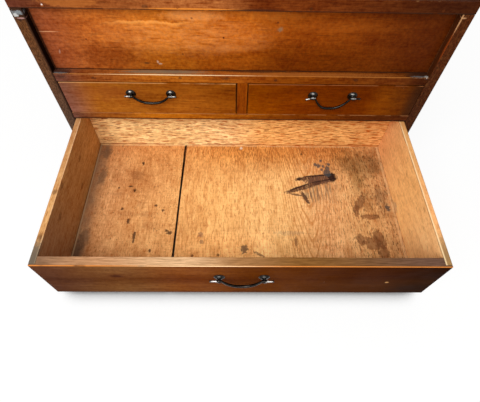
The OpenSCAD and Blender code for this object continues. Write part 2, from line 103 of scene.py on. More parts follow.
class Tree:
    """A node tree with short ways to add and link its nodes."""

    def __init__(self, tree):
        self.tree = tree
        tree.nodes.clear()

    def link(self, source, socket):
        self.tree.links.new(source, socket)

    def feed(self, value, socket):
        if isinstance(value, bpy.types.NodeSocket):
            self.link(value, socket)
        else:
            socket.default_value = srgb(value) if isinstance(value, str) else value

    def add(self, kind, *values, **named):
        """A new node, its inputs fed in their order and by name."""
        node = self.tree.nodes.new(kind)
        for value, socket in zip(values, node.inputs):
            self.feed(value, socket)
        for name, value in named.items():
            self.feed(value, node.inputs[name])
        return node

    def math(self, operation, *values):
        node = self.add("ShaderNodeMath", *values)
        node.operation = operation
        return node.outputs[0]

    def times(self, product, *factors):
        for factor in factors:
            product = self.math("MULTIPLY", product, factor)
        return product

    def fade(self, value, start, end, low=0.0, high=1.0, kind="SMOOTHSTEP"):
        """Smooth step of a value, from low at start to high at end."""
        node = self.add("ShaderNodeMapRange", value, start, end, low, high)
        node.interpolation_type = kind
        return node.outputs[0]

    def background_rays(self):
        """1 for rays that see the background itself or its reflection, 0 for light on the object."""
        rays = self.add("ShaderNodeLightPath").outputs
        seen = self.math("MAXIMUM", rays["Is Camera Ray"], rays["Is Glossy Ray"])
        return self.math("MAXIMUM", seen, rays["Is Transmission Ray"])


class Paint(Tree):
    """A material's node tree, measured in millimetres of the object frame."""

    def __init__(self, name):
        self.material = bpy.data.materials.new(name)
        self.material.use_nodes = True
        super().__init__(self.material.node_tree)
        self.shader = self.add("ShaderNodeBsdfPrincipled")
        self.output = self.add("ShaderNodeOutputMaterial", self.shader.outputs["BSDF"])
        metres = self.add("ShaderNodeTexCoord").outputs["Object"]
        self.place = self.vector("MULTIPLY", metres, (1 / MM, 1 / MM, 1 / MM))
        self.x, self.y, self.z = self.add("ShaderNodeSeparateXYZ", self.place).outputs
        self.colour = (1, 1, 1, 1)
        self.height = 0.0

    def vector(self, operation, *values):
        node = self.add("ShaderNodeVectorMath", *values)
        node.operation = operation
        return node.outputs["Value" if operation == "LENGTH" else "Vector"]

    def mix(self, factor, a, b, blend="MIX"):
        node = self.add("ShaderNodeMix", factor)
        node.data_type = "RGBA"
        node.blend_type = blend
        self.feed(a, node.inputs[6])
        self.feed(b, node.inputs[7])
        return node.outputs[2]

    def ramp(self, value, *stops):
        """Colours along a value, from stops of (value, colour)."""
        first, last = stops[0][0], stops[-1][0]
        node = self.add("ShaderNodeValToRGB", self.fade(value, first, last, kind="LINEAR"))
        node.color_ramp.interpolation = "EASE"
        elements = node.color_ramp.elements
        while len(elements) < len(stops):
            elements.new(1.0)
        for element, (at, colour) in zip(elements, stops):
            element.position = (at - first) / (last - first)
            element.color = srgb(colour)
        return node.outputs[0]

    def noise(self, size, seed=0, detail=3, rough=0.5, warp=0.0):
        """Noise from 0 to 1 whose blobs have the given size, alike along all axes or one for each."""
        sizes = size if isinstance(size, tuple) else (size, size, size)
        squeezed = self.vector("DIVIDE", self.place, sizes)
        place = self.vector("ADD", squeezed, (seed * 7.3, seed * 3.1, seed * 5.7))
        return self.add(
            "ShaderNodeTexNoise", Vector=place, Scale=1.0, Detail=detail, Roughness=rough, Distortion=warp
        ).outputs[0]

    def spot(self, where, ragged=0.35, edge=0.4, grit=None, seed=0):
        """A blotch: 1 inside, 0 outside. Where holds its place, its size and perhaps its turn in degrees.
        Its outline has teeth, as big as grit, and fades over the edge's share of its size."""
        at, size, *turn = where
        node = self.add("ShaderNodeMapping", Vector=self.place, Location=at, Scale=size)
        node.vector_type = "TEXTURE"
        if turn:
            node.inputs["Rotation"].default_value = [math.radians(angle) for angle in turn[0]]
        reach = self.vector("LENGTH", node.outputs[0])
        if ragged:
            rough = self.noise(grit or min(size) * 0.8, seed=seed + at[0] * 0.01, rough=0.6)
            reach = self.math("MULTIPLY_ADD", self.math("SUBTRACT", rough, 0.5), ragged * 4, reach)
        return self.fade(reach, 1 + edge, 1 - edge)

    def cover(self, mask, colour, strength=1.0, blend="MIX"):
        """Covers what a mask shows with a colour."""
        self.colour = self.mix(self.times(mask, strength), self.colour, colour, blend)

    def multiply_masked(self, mask, colour, strength=1.0):
        """Multiplies the colour of what a mask shows: thin colour in the wood, painted shade and painted
        light.
        """
        self.cover(mask, colour, strength, "MULTIPLY")

    def colour_spot(self, colour, strength, where, *shape):
        """Covers a spot with a colour. Shape is how ragged it is, its edge and the size of its teeth."""
        self.cover(self.spot(where, *shape), colour, strength)

    def multiply_spot(self, colour, strength, where, *shape):
        """Multiplies the colour in a spot."""
        self.multiply_masked(self.spot(where, *shape), colour, strength)

    def marks(self, lie, *rows):
        """Spots that lie alike, real marks as well as painted highlight. A row holds colour, strength, place
        with size, and shape.
        """
        for colour, strength, place, *shape in rows:
            self.colour_spot(colour, strength, lie(*place), *shape)

    def strokes(self, shape, *rows):
        """Long marks seen from above. A row holds colour, strength, both ends and the width."""
        for colour, strength, x0, y0, x1, y1, width in rows:
            turn = math.degrees(math.atan2(y1 - y0, x1 - x0))
            size = (math.hypot(x1 - x0, y1 - y0) / 2, width / 2)
            self.colour_spot(colour, strength, on_flat((x0 + x1) / 2, (y0 + y1) / 2, *size, turn), *shape)

    def raise_by(self, value, amount):
        self.height = self.math("MULTIPLY_ADD", value, amount, self.height)

    def finish(self, roughness, metallic=0.0, gloss=0.5, bump=1.0):
        """Joins the colour, roughness and bump to the shader. The height is in millimetres."""
        uneven = self.add("ShaderNodeBump", Strength=bump, Distance=MM, Height=self.height)
        rows = {
            "Base Color": self.colour, "Roughness": roughness, "Metallic": metallic,
            "Specular IOR Level": gloss, "Normal": uneven.outputs[0],
        }
        for name, value in rows.items():
            self.feed(value, self.shader.inputs[name])
        return self.material


def on_front(x, z, wide, high, turn=0):
    """Place, size and turn of a spot on a face seen from the front."""
    return (x, 0, z), (wide, FAR, high), (0, turn, 0)


def on_flat(x, y, wide, deep, turn=0):
    """Place, size and turn of a spot on a face seen from above."""
    return (x, y, 0), (wide, deep, FAR), (0, 0, turn)


def along(axis, length, across):
    """Sizes of something long in the direction of the grain."""
    return tuple(length if name == axis else across for name in "XYZ")


# Wood

DARK_GRAIN = (0.57, 0.37, 0.21, 1)
LIGHT_GRAIN = (1.37, 1.58, 1.82, 1)
RING_SPACING = 9.0
RING_TAPER = 0.02


class Wood(Paint):
    """Softwood: growth rings, streaks, fibres and pores along one axis."""

    def __init__(self, name, axis, seed):
        super().__init__(name)
        self.axis = axis
        self.seed = seed

    def rings(self, heart, wander):
        """Growth rings round a heart line nearly along the grain: 0 in early wood, 1 in late wood."""
        slow = self.noise(along(self.axis, 260, 45), seed=self.seed + 3, detail=2)
        sloped = self.vector("MULTIPLY", self.place, along(self.axis, RING_TAPER, 1.0))
        from_heart = self.vector("LENGTH", self.vector("SUBTRACT", sloped, heart))
        wandering = self.math("MULTIPLY_ADD", slow, wander * 4, from_heart)
        turn = self.math("FRACT", self.math("DIVIDE", wandering, RING_SPACING))
        return self.times(self.fade(turn, 0.35, 0.9), self.fade(turn, 1.0, 0.93))

    def grain(
        self, tone, contrast=1.0, blotch=(110, 26), streak=(40, 3.4), ring=None, ring_depth=0.3, line=1.1,
        mottle=1.0,
    ):
        """Colours the wood round a tone. Blotches and streaks have a length and a height."""
        streaks = self.noise(along(self.axis, *streak), seed=self.seed + 1, rough=0.6)
        fibres = self.noise(along(self.axis, 26, 1.1), seed=self.seed + 2, detail=2)
        layers = (
            (self.noise(along(self.axis, *blotch), seed=self.seed, detail=4, rough=0.55, warp=0.5), 1),
            (streaks, line),
            (fibres, 0.6 * line),
            (self.noise(6, seed=self.seed + 4, detail=4, rough=0.72), mottle),
        )
        shade = 0.5
        for layer, weight in layers:
            shade = self.math("MULTIPLY_ADD", self.math("SUBTRACT", layer, 0.5), weight * contrast, shade)
        if ring is not None:
            shade = self.math("MULTIPLY_ADD", ring, -ring_depth, shade)
            self.raise_by(ring, 0.05)
        shade = self.math("MINIMUM", self.math("MAXIMUM", shade, 0.0), 1.0)
        self.colour = self.mix(1.0, tone, self.mix(shade, DARK_GRAIN, LIGHT_GRAIN), "MULTIPLY")
        self.raise_by(fibres, 0.08)
        self.raise_by(streaks, 0.12)

    def pores(self, colour, strength, length, height, share=0.62, seed=9):
        """Short dark flecks along the grain."""
        field = self.noise(along(self.axis, length, height), seed=self.seed + seed, detail=1)
        mask = self.times(self.fade(field, share, share + 0.06), strength)
        self.cover(mask, colour)
        self.raise_by(mask, -0.08)

    def specks(self, colour, strength, spacing, radius, share, seed=0):
        """Small dots scattered over a share of the cells of the given spacing."""
        cells = self.vector("DIVIDE", self.place, (spacing, spacing, spacing))
        moved = self.vector("ADD", cells, (self.seed + seed, 0.5, seed * 2.3))
        node = self.add("ShaderNodeTexVoronoi", Vector=moved, Scale=1.0)
        chance = self.add("ShaderNodeSeparateXYZ", node.outputs["Color"]).outputs
        reach = self.math("MULTIPLY_ADD", chance[1], radius / spacing, 0.4 * radius / spacing)
        dot = self.fade(node.outputs["Distance"], reach, self.times(reach, 0.5))
        mask = self.times(dot, self.math("LESS_THAN", chance[0], share), strength)
        self.cover(mask, colour)
        self.raise_by(mask, -0.1)

    def patches(self, colour, strength, size, share):
        """Large soft patches of a colour."""
        field = self.noise(size, seed=self.seed + 20, detail=4, rough=0.6)
        self.cover(self.fade(field, share, share + 0.15), colour, strength)

    def arris(self, colour, strength, at, width, gaps, broken=25):
        """A band along an edge: wear, and in places painted shade. The place of the edge leaves out the axis
        that it runs along.
        """
        run = [FAR if value is None else width for value in at]
        place = [0 if value is None else value for value in at]
        mask = self.spot((place, run), 0)
        field = self.noise(broken, seed=self.seed + 30, rough=0.6)
        self.cover(self.times(mask, self.fade(field, gaps, gaps + 0.12)), colour, strength)


# Places of the faces and edges that carry wear, in millimetres

FRONT_Y = -190.5
PANEL_Y = -176.0
LONG_FRONT_Y = -508.5
LONG_BACK_Y = -158.1
BOARD_X = 336.7
WALL_X = 324.6
LEDGE_Z = 250.0
LID_Z = 367.7
LID_TOP_Z = 387.7
RIM_Z = 139.3
BOTTOM_Z = 25.3

VARNISH_GLOSS = 0.02
WOOD_GLOSS = 0.015
# Dark brown for dirt, and also for painted shade in corners and along edges and gaps.
DIRT_AND_SHADE = "2c1c14"
WHITE_FLECK = "d9cdb8"


# Varnished fronts

def varnish(wood, gloss=VARNISH_GLOSS):
    """Fine unevenness of old varnish, with small pits."""
    wood.raise_by(wood.noise(9, seed=wood.seed + 40), 0.12)
    dust = wood.noise(1.6, seed=wood.seed + 41, detail=1)
    wood.raise_by(wood.fade(dust, 0.68, 0.78), -0.05)
    patch = wood.noise(45, seed=wood.seed + 42)
    return wood.finish(wood.fade(patch, 0.3, 0.7, 0.42, 0.62), gloss=gloss)


def varnished(name, seed, *stops, contrast=1.0, **grain):
    """Varnished softwood whose tone changes along X: light at the left, dark at the right, partly darker
    varnish and partly painted light and shade from the left.
    """
    wood = Wood(name, "X", seed)
    wood.grain(wood.ramp(wood.x, *stops), contrast, **grain)
    wood.pores("3a1606", 0.4, 22, 1.3)
    wood.pores("2a1208", 0.5, 70, 1, share=0.70, seed=14)
    wood.specks("2c150a", 0.6, 17, 1.3, share=0.35, seed=1)
    wood.specks(WHITE_FLECK, 0.35, 23, 0.9, share=0.3, seed=2)
    return wood


def panel_wood():
    """The set-back front panel, with a painted highlight: a glow of light whose upper edge wanders."""
    wood = varnished(
        "panel_wood", 1, (-335, "844224"), (-230, "a85a20"), (-120, "b4641c"), (-20, "aa5816"),
        (90, "7e3a08"), (335, "4c1e04"), contrast=1.05, blotch=(70, 24), line=0.5, mottle=1.5,
    )
    off_middle = wood.math("ABSOLUTE", wood.x)
    wood.multiply_masked(wood.times(wood.fade(wood.z, 318, 278), wood.fade(off_middle, 290, 130)), "ccc49c", 0.9)
    # Painted highlight: a glow in the upper left of the panel, with a brighter crest along its wandering
    # upper edge.
    wander = wood.noise((34, FAR, FAR), seed=61, detail=4, rough=0.6)
    height = wood.math("MULTIPLY_ADD", wood.math("SUBTRACT", wander, 0.5), 22.0, wood.z)
    under_crest = wood.fade(height, 343, 340)
    body = wood.spot(on_front(-105, 318, 112, 30), 0.25, 0.7, seed=3)
    veil = wood.noise((24, 24, 6), seed=62, detail=4, rough=0.65)
    wood.cover(wood.times(body, under_crest, wood.fade(veil, 0.3, 0.65)), "eca05c", 0.3)
    crest = wood.spot(on_front(-152, 340, 62, 30), 0.3, 0.5)
    wood.cover(wood.times(crest, under_crest, wood.fade(height, 334, 340)), "f6aa58", 0.45)
    # The first two marks are more of the painted highlight.
    wood.marks(
        on_front,
        ("eca05c", 0.5, (-80, 351, 42, 8), 0.4, 0.5, 12),
        ("eca05c", 0.12, (-30, 296, 58, 7), 0.4, 0.6, 12),
        ("c06c24", 0.1, (150, 335, 80, 8), 0.5, 0.6, 16),
    )
    wood.multiply_spot("8a5440", 0.5, on_front(-232, 278, 50, 22), 0.6, 0.7, 10)
    wood.colour_spot("c8782c", 0.2, on_front(40, 354, 50, 10), 0.6, 0.7, 10)
    wood.multiply_masked(wood.fade(wood.noise(2.8, seed=64, detail=2), 0.35, 0.65), (1.1, 1.02, 0.8, 1))
    nails = ((-83, 347, 0.6), (55, 342, 0.7), (-33, 314, 0.95), (-104, 282, 0.6), (-262, 308, 0.6))
    for x, z, strength in nails:
        wood.colour_spot("4a1c10", strength, on_front(x, z, 1.6, 1.6), 0)
    wood.marks(
        on_front,
        ("6a705c", 0.45, (60, 330, 4, 3.5), 0.5, 0.6),
        (WHITE_FLECK, 0.3, (-150, 266, 1.6, 2.6), 0.6),
        (WHITE_FLECK, 0.3, (-146, 262, 3, 1.6), 0.6),
        (DIRT_AND_SHADE, 0.6, (-170, 263, 5, 2)),
        ("e8b080", 0.5, (-324, 321, 19, 0.7), 0.2, 0.5),
        (WHITE_FLECK, 0.18, (-315, 284, 1.2, 4, 20), 0.6),
    )
    # Painted shade in the corner beside the left side board.
    wood.arris(DIRT_AND_SHADE, 0.85, (-BOARD_X, PANEL_Y, None), 3, 0.1)
    return varnish(wood)


def strip_wood():
    """The lid's front strip."""
    wood = varnished(
        "strip_wood", 2, (-355, "542818"), (-230, "80421a"), (-60, "9e5a2a"), (30, "662c0a"), (355, "3a1806"),
        contrast=1.25, blotch=(60, 12), streak=(26, 2.6), mottle=1.3,
    )
    wood.marks(
        on_front,
        ("b2682c", 0.4, (-262, 380, 44, 9), 0.25, 0.15),
        (DIRT_AND_SHADE, 0.5, (-150, 373, 5, 3)),
        (DIRT_AND_SHADE, 0.5, (20, 370, 34, 2), 0.4),
    )
    # Painted shade along the strip's lower edge, over the set-back panel.
    wood.arris(DIRT_AND_SHADE, 0.8, (None, FRONT_Y, LID_Z), 1.8, 0.3)
    wood.colour_spot("d8822e", 0.75, on_front(-80, 370.3, 66, 1.3), 0.15)
    wood.arris("dba468", 0.3, (None, FRONT_Y, LID_TOP_Z), 1.2, 0.58)
    return varnish(wood)


def ledge_wood():
    """The compartment floor: its front edge is the upper rail and its top shows as a ledge."""
    wood = varnished(
        "ledge_wood", 3, (-335, "62382a"), (-270, "844418"), (-150, "a25814"), (-20, "924a0e"),
        (100, "7a3a06"), (270, "66300a"), (335, "3c1804"),
        contrast=1.3, blotch=(50, 10), streak=(36, 2.4), mottle=1.3,
    )
    wood.colour_spot("6c6450", 0.8, ((-140, -182.5, LEDGE_Z), (72, 5, 2.5)), 0.4, 0.4)
    wood.arris("b47434", 0.5, (None, FRONT_Y, LEDGE_Z), 1.3, 0.25, 70)
    wood.colour_spot("f0dcb0", 0.75, ((-110, FRONT_Y, LEDGE_Z), (135, 1.2, 1.2)), 0.15, 0.5)
    dirt = ((-268, 241, 4), (-112, 243, 3), (-30, 243, 7), (60, 240, 3), (205, 243, 5), (-325, 243, 9))
    for x, z, wide in dirt:
        wood.colour_spot(DIRT_AND_SHADE, 0.6, on_front(x, z, wide, 2.5), 0.8, 0.5)
    wood.colour_spot("a8642c", 0.5, ((105, -185, LEDGE_Z), (165, 4.5, 1.6)), 0.7, 0.5)
    wood.arris(DIRT_AND_SHADE, 0.85, (None, PANEL_Y, LEDGE_Z), 1.8, 0.3)
    wood.colour_spot(DIRT_AND_SHADE, 0.6, ((20, -178, LEDGE_Z), (60, 4, 2.5)), 0.5)
    for x in (-326, 318):
        wood.colour_spot(DIRT_AND_SHADE, 0.7, ((x, -184, LEDGE_Z), (20, 8, 2.2)), 0.6, 0.3)
        wood.colour_spot("6c7072", 0.5, ((x, -188, LEDGE_Z), (12, 2, 2.2)), 0.8, 0.3)
    wood.colour_spot("a8a49c", 0.7, ((332, -188, LEDGE_Z), (3, 3, 3)), 0.8, 0.4, 2)
    return varnish(wood)


def rail_wood():
    """The rail between the long drawer and the small drawers."""
    wood = varnished(
        "rail_wood", 4, (-335, "643c2c"), (-270, "925018"), (-150, "ba6a12"), (-20, "98520c"),
        (110, "703404"), (335, "4e240c"), contrast=1.2, blotch=(60, 10), streak=(44, 2.6), mottle=1.2,
    )
    wood.arris(DIRT_AND_SHADE, 0.85, (None, FRONT_Y, 141.2), 3.2, 0.2)
    wood.arris("a87448", 0.5, (None, FRONT_Y, 157.2), 1.1, 0.4)
    return varnish(wood)


def divider_wood():
    wood = Wood("divider_wood", "Z", 5)
    wood.grain("7c3804", 1.1, blotch=(60, 8))
    wood.pores("3a1606", 0.4, 20, 1.3)
    wood.arris(DIRT_AND_SHADE, 0.4, (-10, FRONT_Y, None), 1.3, 0.3)
    return varnish(wood)


SMALL_FRONT_STOPS = {
    "left": ((-335, "7e4e3c"), (-270, "a05c18"), (-120, "9a5412"), (-10, "884608")),
    "right": (
        (10, "884200"), (110, "763200"), (230, "682a00"), (270, "783a04"), (304, "663004"), (330, "3e1e08"),
    ),
}


def small_front_wood(side):
    wood = varnished(
        f"{side}_front_wood", 6 if side == "left" else 7, *SMALL_FRONT_STOPS[side],
        blotch=(80, 18), streak=(40, 3.0), line=0.9,
    )
    wood.multiply_masked(wood.fade(wood.z, 172, 226), "e0dacc", 0.9)
    if side == "left":
        wood.colour_spot("803a18", 0.35, on_front(-250, 208, 52, 17), 0.6, 0.6)
    wood.arris("cf9a62" if side == "left" else "9c6038", 0.55, (None, FRONT_Y, 231.1), 1.1, 0.36, 60)
    wood.arris("a87444", 0.3, (None, FRONT_Y, 157.5), 1.1, 0.4)
    for x in (-336, -11, 11, 336):
        wood.arris(DIRT_AND_SHADE, 0.35, (x, FRONT_Y, None), 1.4, 0.3)
    return varnish(wood)


def long_front_wood():
    """The long drawer's front: varnished outside, bare on its top edge and inside."""
    wood = varnished(
        "long_front_wood", 8, (-335, "502c18"), (-200, "6e4420"), (-90, "743e16"), (30, "562804"),
        (200, "3c1802"), (335, "220b00"), contrast=0.8, blotch=(110, 12), streak=(60, 3), mottle=1.1,
    )
    wood.multiply_masked(wood.times(wood.fade(wood.z, 118, 60), wood.fade(wood.x, 40, -120)), "98805c", 0.16)
    # Painted sheen: a faint lighter cast over the lower right of the front.
    wood.cover(wood.times(wood.fade(wood.z, 100, 60), wood.fade(wood.x, -60, 120)), "8a5c34", 0.06)
    wood.multiply_spot("c8ac90", 0.7, on_front(-150, 82, 190, 18), 0.2, 0.7)
    wood.multiply_spot("806050", 0.6, on_front(312, 40, 46, 24), 0.2, 0.7)
    band = wood.ramp(
        wood.x, (-335, "7e5e46"), (-230, "b0825c"), (-100, "cca47a"), (0, "9a6e44"), (90, "7a5228"),
        (335, "62483a"),
    )
    top = wood.times(wood.fade(wood.z, 137.6, 138.9), wood.fade(wood.y, -507.8, -506.0))
    lines = wood.noise((30, 1.5, 4), seed=63, detail=4, rough=0.75)
    streaks = wood.mix(wood.fade(lines, 0.3, 0.7), (0.6, 0.56, 0.5, 1), (1.34, 1.36, 1.4, 1))
    bare = wood.math("MAXIMUM", top, wood.fade(wood.y, -494.5, -492.8))
    wood.cover(bare, wood.mix(1, band, streaks, "MULTIPLY"))
    wood.arris("d4823c", 0.85, (None, LONG_FRONT_Y, RIM_Z), 1.4, 0.32, 60)
    wood.colour_spot("f4d4a4", 0.85, ((-70, LONG_FRONT_Y, RIM_Z), (105, 1.3, 1.3)), 0.15, 0.6)
    wood.marks(
        on_front,
        ("4e2410", 0.45, (-208, 97, 16, 8), 0.3, 0.6),
        ("34150a", 0.65, (-208, 97, 9, 5.5), 0.3, 0.5),
        ("b98a55", 0.7, (252, 72, 3, 3)),
    )
    wood.arris(DIRT_AND_SHADE, 0.35, (None, LONG_FRONT_Y, 19.3), 6, 0.3, 60)
    return varnish(wood, gloss=0.004)


# Side boards of the case

def side_board_wood(side):
    """A side board: dull end grain in front, dark inside the recess with painted shade there on the left
    board, worn near the lid.
    """
    left = side == "left"
    seed = 11 if left else 12
    wood = Wood(f"side_{side}_wood", "Y", seed)
    tone = wood.ramp(wood.z, (0, "4a2a18"), (200, "58301a"), (367, "643a1e"))
    rings = wood.rings((-900 if left else 900, 0, 120), wander=8)
    wood.grain(tone, 1, blotch=(120, 24), ring=rings, ring_depth=0.25)
    wood.pores("241008", 0.45, 20, 1.3)
    # The inner face beside the set-back panel: near black on the left board as painted shade, dark brown on
    # the right.
    recess = wood.times(wood.fade(wood.z, 249, 251), wood.fade(wood.y, -176, -178))
    off_middle = wood.math("ABSOLUTE", wood.x)
    wood.cover(wood.times(recess, wood.fade(off_middle, 338.5, 337.2)), "140904" if left else "44200c")
    end = wood.fade(wood.y, -188.6, -189.9)
    end_low, end_high = ("4a3c34", "54341c") if left else ("341c10", "44200c")
    end_tone = wood.ramp(wood.z, (0, end_low), (367, end_high))
    ticks = wood.noise((1.6, 30, 5), seed=seed + 50, detail=4, rough=0.8)
    end_grain = wood.mix(wood.fade(ticks, 0.36, 0.64), (0.42, 0.38, 0.34, 1), (1.62, 1.58, 1.5, 1))
    wood.cover(end, wood.mix(1, end_tone, end_grain, "MULTIPLY"))
    if left:
        wood.colour_spot(DIRT_AND_SHADE, 0.8, ((-344, -190, 362), (20, 10, 12)), 0.4, 0.3)
        wood.colour_spot("7d8488", 0.75, ((-344, -190, 361), (9, 10, 3.5)), 0.6, 0.3)
        wood.colour_spot("c8cac8", 0.7, ((-350, -190, 357), (3.5, 10, 2.6)), 0.5)
        wood.colour_spot("b98d84", 0.6, ((-343, -190, 352), (7, 10, 1.2)), 0.5)
        # Painted shade along the inner front edge of the left board, beside the set-back parts.
        wood.arris(DIRT_AND_SHADE, 0.8, (-BOARD_X, FRONT_Y, None), 2.6, 0.15)
    else:
        wood.colour_spot("c8986a", 0.65, ((BOARD_X, FRONT_Y, 358), (1.7, 1.7, 24)), 0.2)
        wood.colour_spot("d3a272", 0.5, ((340, -190, 362), (4, 10, 1.2)), 0.4)
        wood.colour_spot("8a3c12", 0.6, ((BOARD_X, -190, 312), (1.5, 3, 28)), 0.4)
        flaked = wood.fade(wood.noise((3.5, 3.5, 9), seed=seed + 60, detail=4, rough=0.7), 0.5, 0.62)
        wood.cover(wood.times(flaked, end), "7a5028", 0.22)
    return varnish(wood, WOOD_GLOSS)


# Bare wood inside the drawers

SPILL = "503226"
SPILL_RIM = "2a1a18"
SLATE = "414446"


def leave_bare(wood, gloss=WOOD_GLOSS):
    wood.raise_by(wood.noise(4, seed=wood.seed + 40), 0.1)
    return wood.finish(0.72, gloss=gloss)


def bottom_wood(seed, name, line, mottle):
    """The long drawer's bottom boards, with the grain from front to back."""
    wood = Wood(name, "Y", seed)
    across = wood.ramp(
        wood.x, (-335, "b48254"), (-290, "e2a468"), (-200, "dea060"), (-60, "f4b66c"), (90, "f8c078"),
        (180, "ecb072"), (260, "dca668"), (335, "cc9a64"),
    )
    wood.grain(across, 0.9, blotch=(60, 26), streak=(46, 4), line=line, mottle=mottle)
    wood.pores("b05c24", 0.5, 14, 1.8, share=0.58)
    wood.pores("8a4c22", 0.5, 6, 1.8, share=0.67, seed=12)
    wood.specks("6a3e22", 0.6, 22, 1.3, share=0.35, seed=5)
    saw_marks = wood.noise((30, 1.6, 3), seed=seed + 44, detail=2)
    wood.multiply_masked(wood.fade(saw_marks, 0.5, 0.62), "c08a54", 0.16)
    # Painted light: a lighter band across the bottom near the front, as a sheen.
    wood.multiply_spot((1.45, 1.5, 1.55, 1), 0.5, on_flat(20, -421, 180, 28), 0.3, 0.7)
    back_edge = wood.times(wood.fade(wood.y, -265, -170), wood.fade(wood.x, -160, 20, 0.25, 0.7))
    back_edge = wood.times(back_edge, wood.fade(wood.x, 290, 220, 0.3))
    wood.multiply_masked(back_edge, "d4ac64")
    dashes = wood.fade(wood.noise((1.9, 10, 9), seed=seed + 45, detail=2), 0.48, 0.6)
    wood.cover(wood.times(dashes, back_edge), "864e22")
    # Painted shade near the drawer's front board.
    wood.multiply_masked(wood.fade(wood.y, -455, -490), "b09478", 0.25)
    # Painted shade along the edges of the gap between the bottom boards.
    gap = ("120c0a", 0.95, -133.2, -760, -126, 110, 3.8)
    wood.strokes((0, 0.2), gap)
    wood.arris("e4bc88", 0.5, (None, -158.6, BOTTOM_Z), 1.6, 0.35, 60)
    return wood


def cathedral(wood):
    """Nested pointed lines of late wood round the middle of the right board, with their tips to the front."""
    middle, aside, rise_there, steepening, spacing, wobble = 145, 25, 88, 1.6, 40, 14
    slow = wood.noise((26, 90, 26), seed=71, detail=2)
    wavy = wood.math("MULTIPLY_ADD", wood.math("SUBTRACT", slow, 0.5), wobble, wood.x)
    across = wood.math("ABSOLUTE", wood.math("SUBTRACT", wavy, middle))
    rise = wood.times(wood.math("POWER", wood.math("DIVIDE", across, aside), steepening), rise_there)
    level = wood.math("SUBTRACT", wood.y, rise)
    turn = wood.math("FRACT", wood.math("DIVIDE", level, spacing))
    region = wood.times(
        wood.fade(wood.x, 40, 90), wood.fade(wood.x, 240, 205), wood.fade(level, -900, -410, 0.18, 0.6)
    )
    mask = wood.times(wood.fade(turn, 0.6, 0.85), wood.fade(turn, 1, 0.93), region)
    wood.cover(mask, "bf7434")
    wood.raise_by(mask, 0.08)


def spill(wood):
    """The dark spill on the right board, whose inside lets the wood show in thin streaks."""
    shadow = wood.spot(on_flat(168, -287, 38, 24, 14), 0.4, 0.6, seed=4)
    runs = wood.noise((3.4, 60, 9), seed=72, detail=2)
    wood.cover(wood.times(shadow, wood.fade(runs, 0.4, 0.6, 0.1, 0.8)), "7c6248")
    jagged = (0.32, 0.2, 4)
    bare = wood.colour
    wood.colour_spot("604032", 0.95, on_flat(176, -254, 36, 13, 10), *jagged)
    wood.strokes(jagged, (SPILL, 0.92, 98, -289, 176, -262, 12), (SPILL, 0.92, 122, -255, 164, -246, 9))
    thin = wood.noise((2.2, 18, 9), seed=78, rough=0.7)
    wood.cover(wood.fade(thin, 0.52, 0.66, 0, 0.4), bare)
    wood.strokes(
        jagged,
        (SPILL_RIM, 0.85, 136, -247, 212, -238, 4.5),
        (SPILL_RIM, 0.8, 98, -287, 150, -265, 4.5),
        (SPILL_RIM, 0.7, 150, -264, 212, -250, 4),
    )
    wood.colour_spot(SPILL_RIM, 0.8, on_flat(130, -252, 6, 4), *jagged)
    wood.strokes(
        jagged,
        (SPILL, 0.75, 106, -292, 132, -297, 5),
        (SPILL, 0.9, 132, -287, 145, -318, 8),
        (SPILL, 0.5, 150, -285, 154, -312, 4),
    )
    wood.colour_spot(SPILL_RIM, 0.95, on_flat(203, -247, 9, 12), *jagged)
    wood.colour_spot(SLATE, 0.85, on_flat(194, -236, 9, 10), 0.3, 0.2, 4)
    drops = (
        (184, -201, 3), (177, -215, 5), (170, -212, 4), (187, -217, 3), (200, -211, 4), (196, -222, 5),
        (183, -226, 3),
    )
    for x, y, size in drops:
        wood.colour_spot(SLATE, 0.8, on_flat(x, y, size, size * 1.2), 0.5, 0.25, 3)


def right_bottom_marks(wood):
    """Blotches, smudges and dirt beside the spill."""
    for place in (
        (255, -312, 9, 24, -28), (270, -349, 20, 6), (243, -334, 6, 14),
        (240, -401, 9, 15), (262, -410, 17, 15), (279, -404, 10, 22, 10), (281, -430, 11, 15),
    ):
        wood.colour_spot("7a4a2c", 0.68, on_flat(*place), 0.5, 0.14, 9)
    wood.marks(
        on_flat,
        (SLATE, 0.8, (310, -327, 5, 8), 0.7, 0.3),
        ("5e4a38", 0.4, (300, -300, 14, 24), 0.7, 0.3),
        ("7e776c", 0.22, (98, -388, 30, 5), 0.7, 0.3),
    )
    wood.multiply_spot("b0a890", 0.2, on_flat(116, -412, 64, 26), 0.6, 0.6, 14)
    wood.marks(
        on_flat,
        ("7a4a2a", 0.75, (110, -407, 3, 9), 0.7, 0.3),
        ("5a4636", 0.8, (6, -424, 7, 9), 0.7, 0.3),
        ("6a4630", 0.7, (36, -435, 11, 3, -30), 0.7, 0.3),
        (WHITE_FLECK, 0.9, (2, -165, 3, 4), 0.3),
        ("8a5f48", 0.6, (-80, -392, 5, 7), 0.7, 0.3),
        ("8a5f48", 0.6, (-78, -408, 4, 4), 0.7, 0.3),
    )
    for x, y in ((-94, -438), (-44, -437), (141, -181)):
        wood.colour_spot("4c2f1c", 0.75, on_flat(x, y, 2.5, 3), 0.7, 0.3)
    patchy = wood.fade(wood.noise((20, 34, 20), seed=74, detail=4, rough=0.65), 0.45, 0.6)
    wood.multiply_masked(wood.times(wood.fade(wood.x, 205, 290), patchy), "98846c", 0.3)
    flecks = wood.fade(wood.noise((2, 9, 8), seed=76, detail=2), 0.57, 0.64)
    wood.cover(wood.times(flecks, wood.fade(wood.x, 110, 280, 0.15, 0.7)), "5e3c22")
    wood.multiply_spot("8e8a80", 0.6, on_flat(278, -210, 58, 30), 0.5, 0.6, 16)
    wood.multiply_spot("8a7268", 0.2, on_flat(280, -296, 28, 40), 0.6, 0.6, 14)
    wood.multiply_spot("a09a80", 0.5, on_flat(258, -252, 14, 30), 0.5, 0.6)


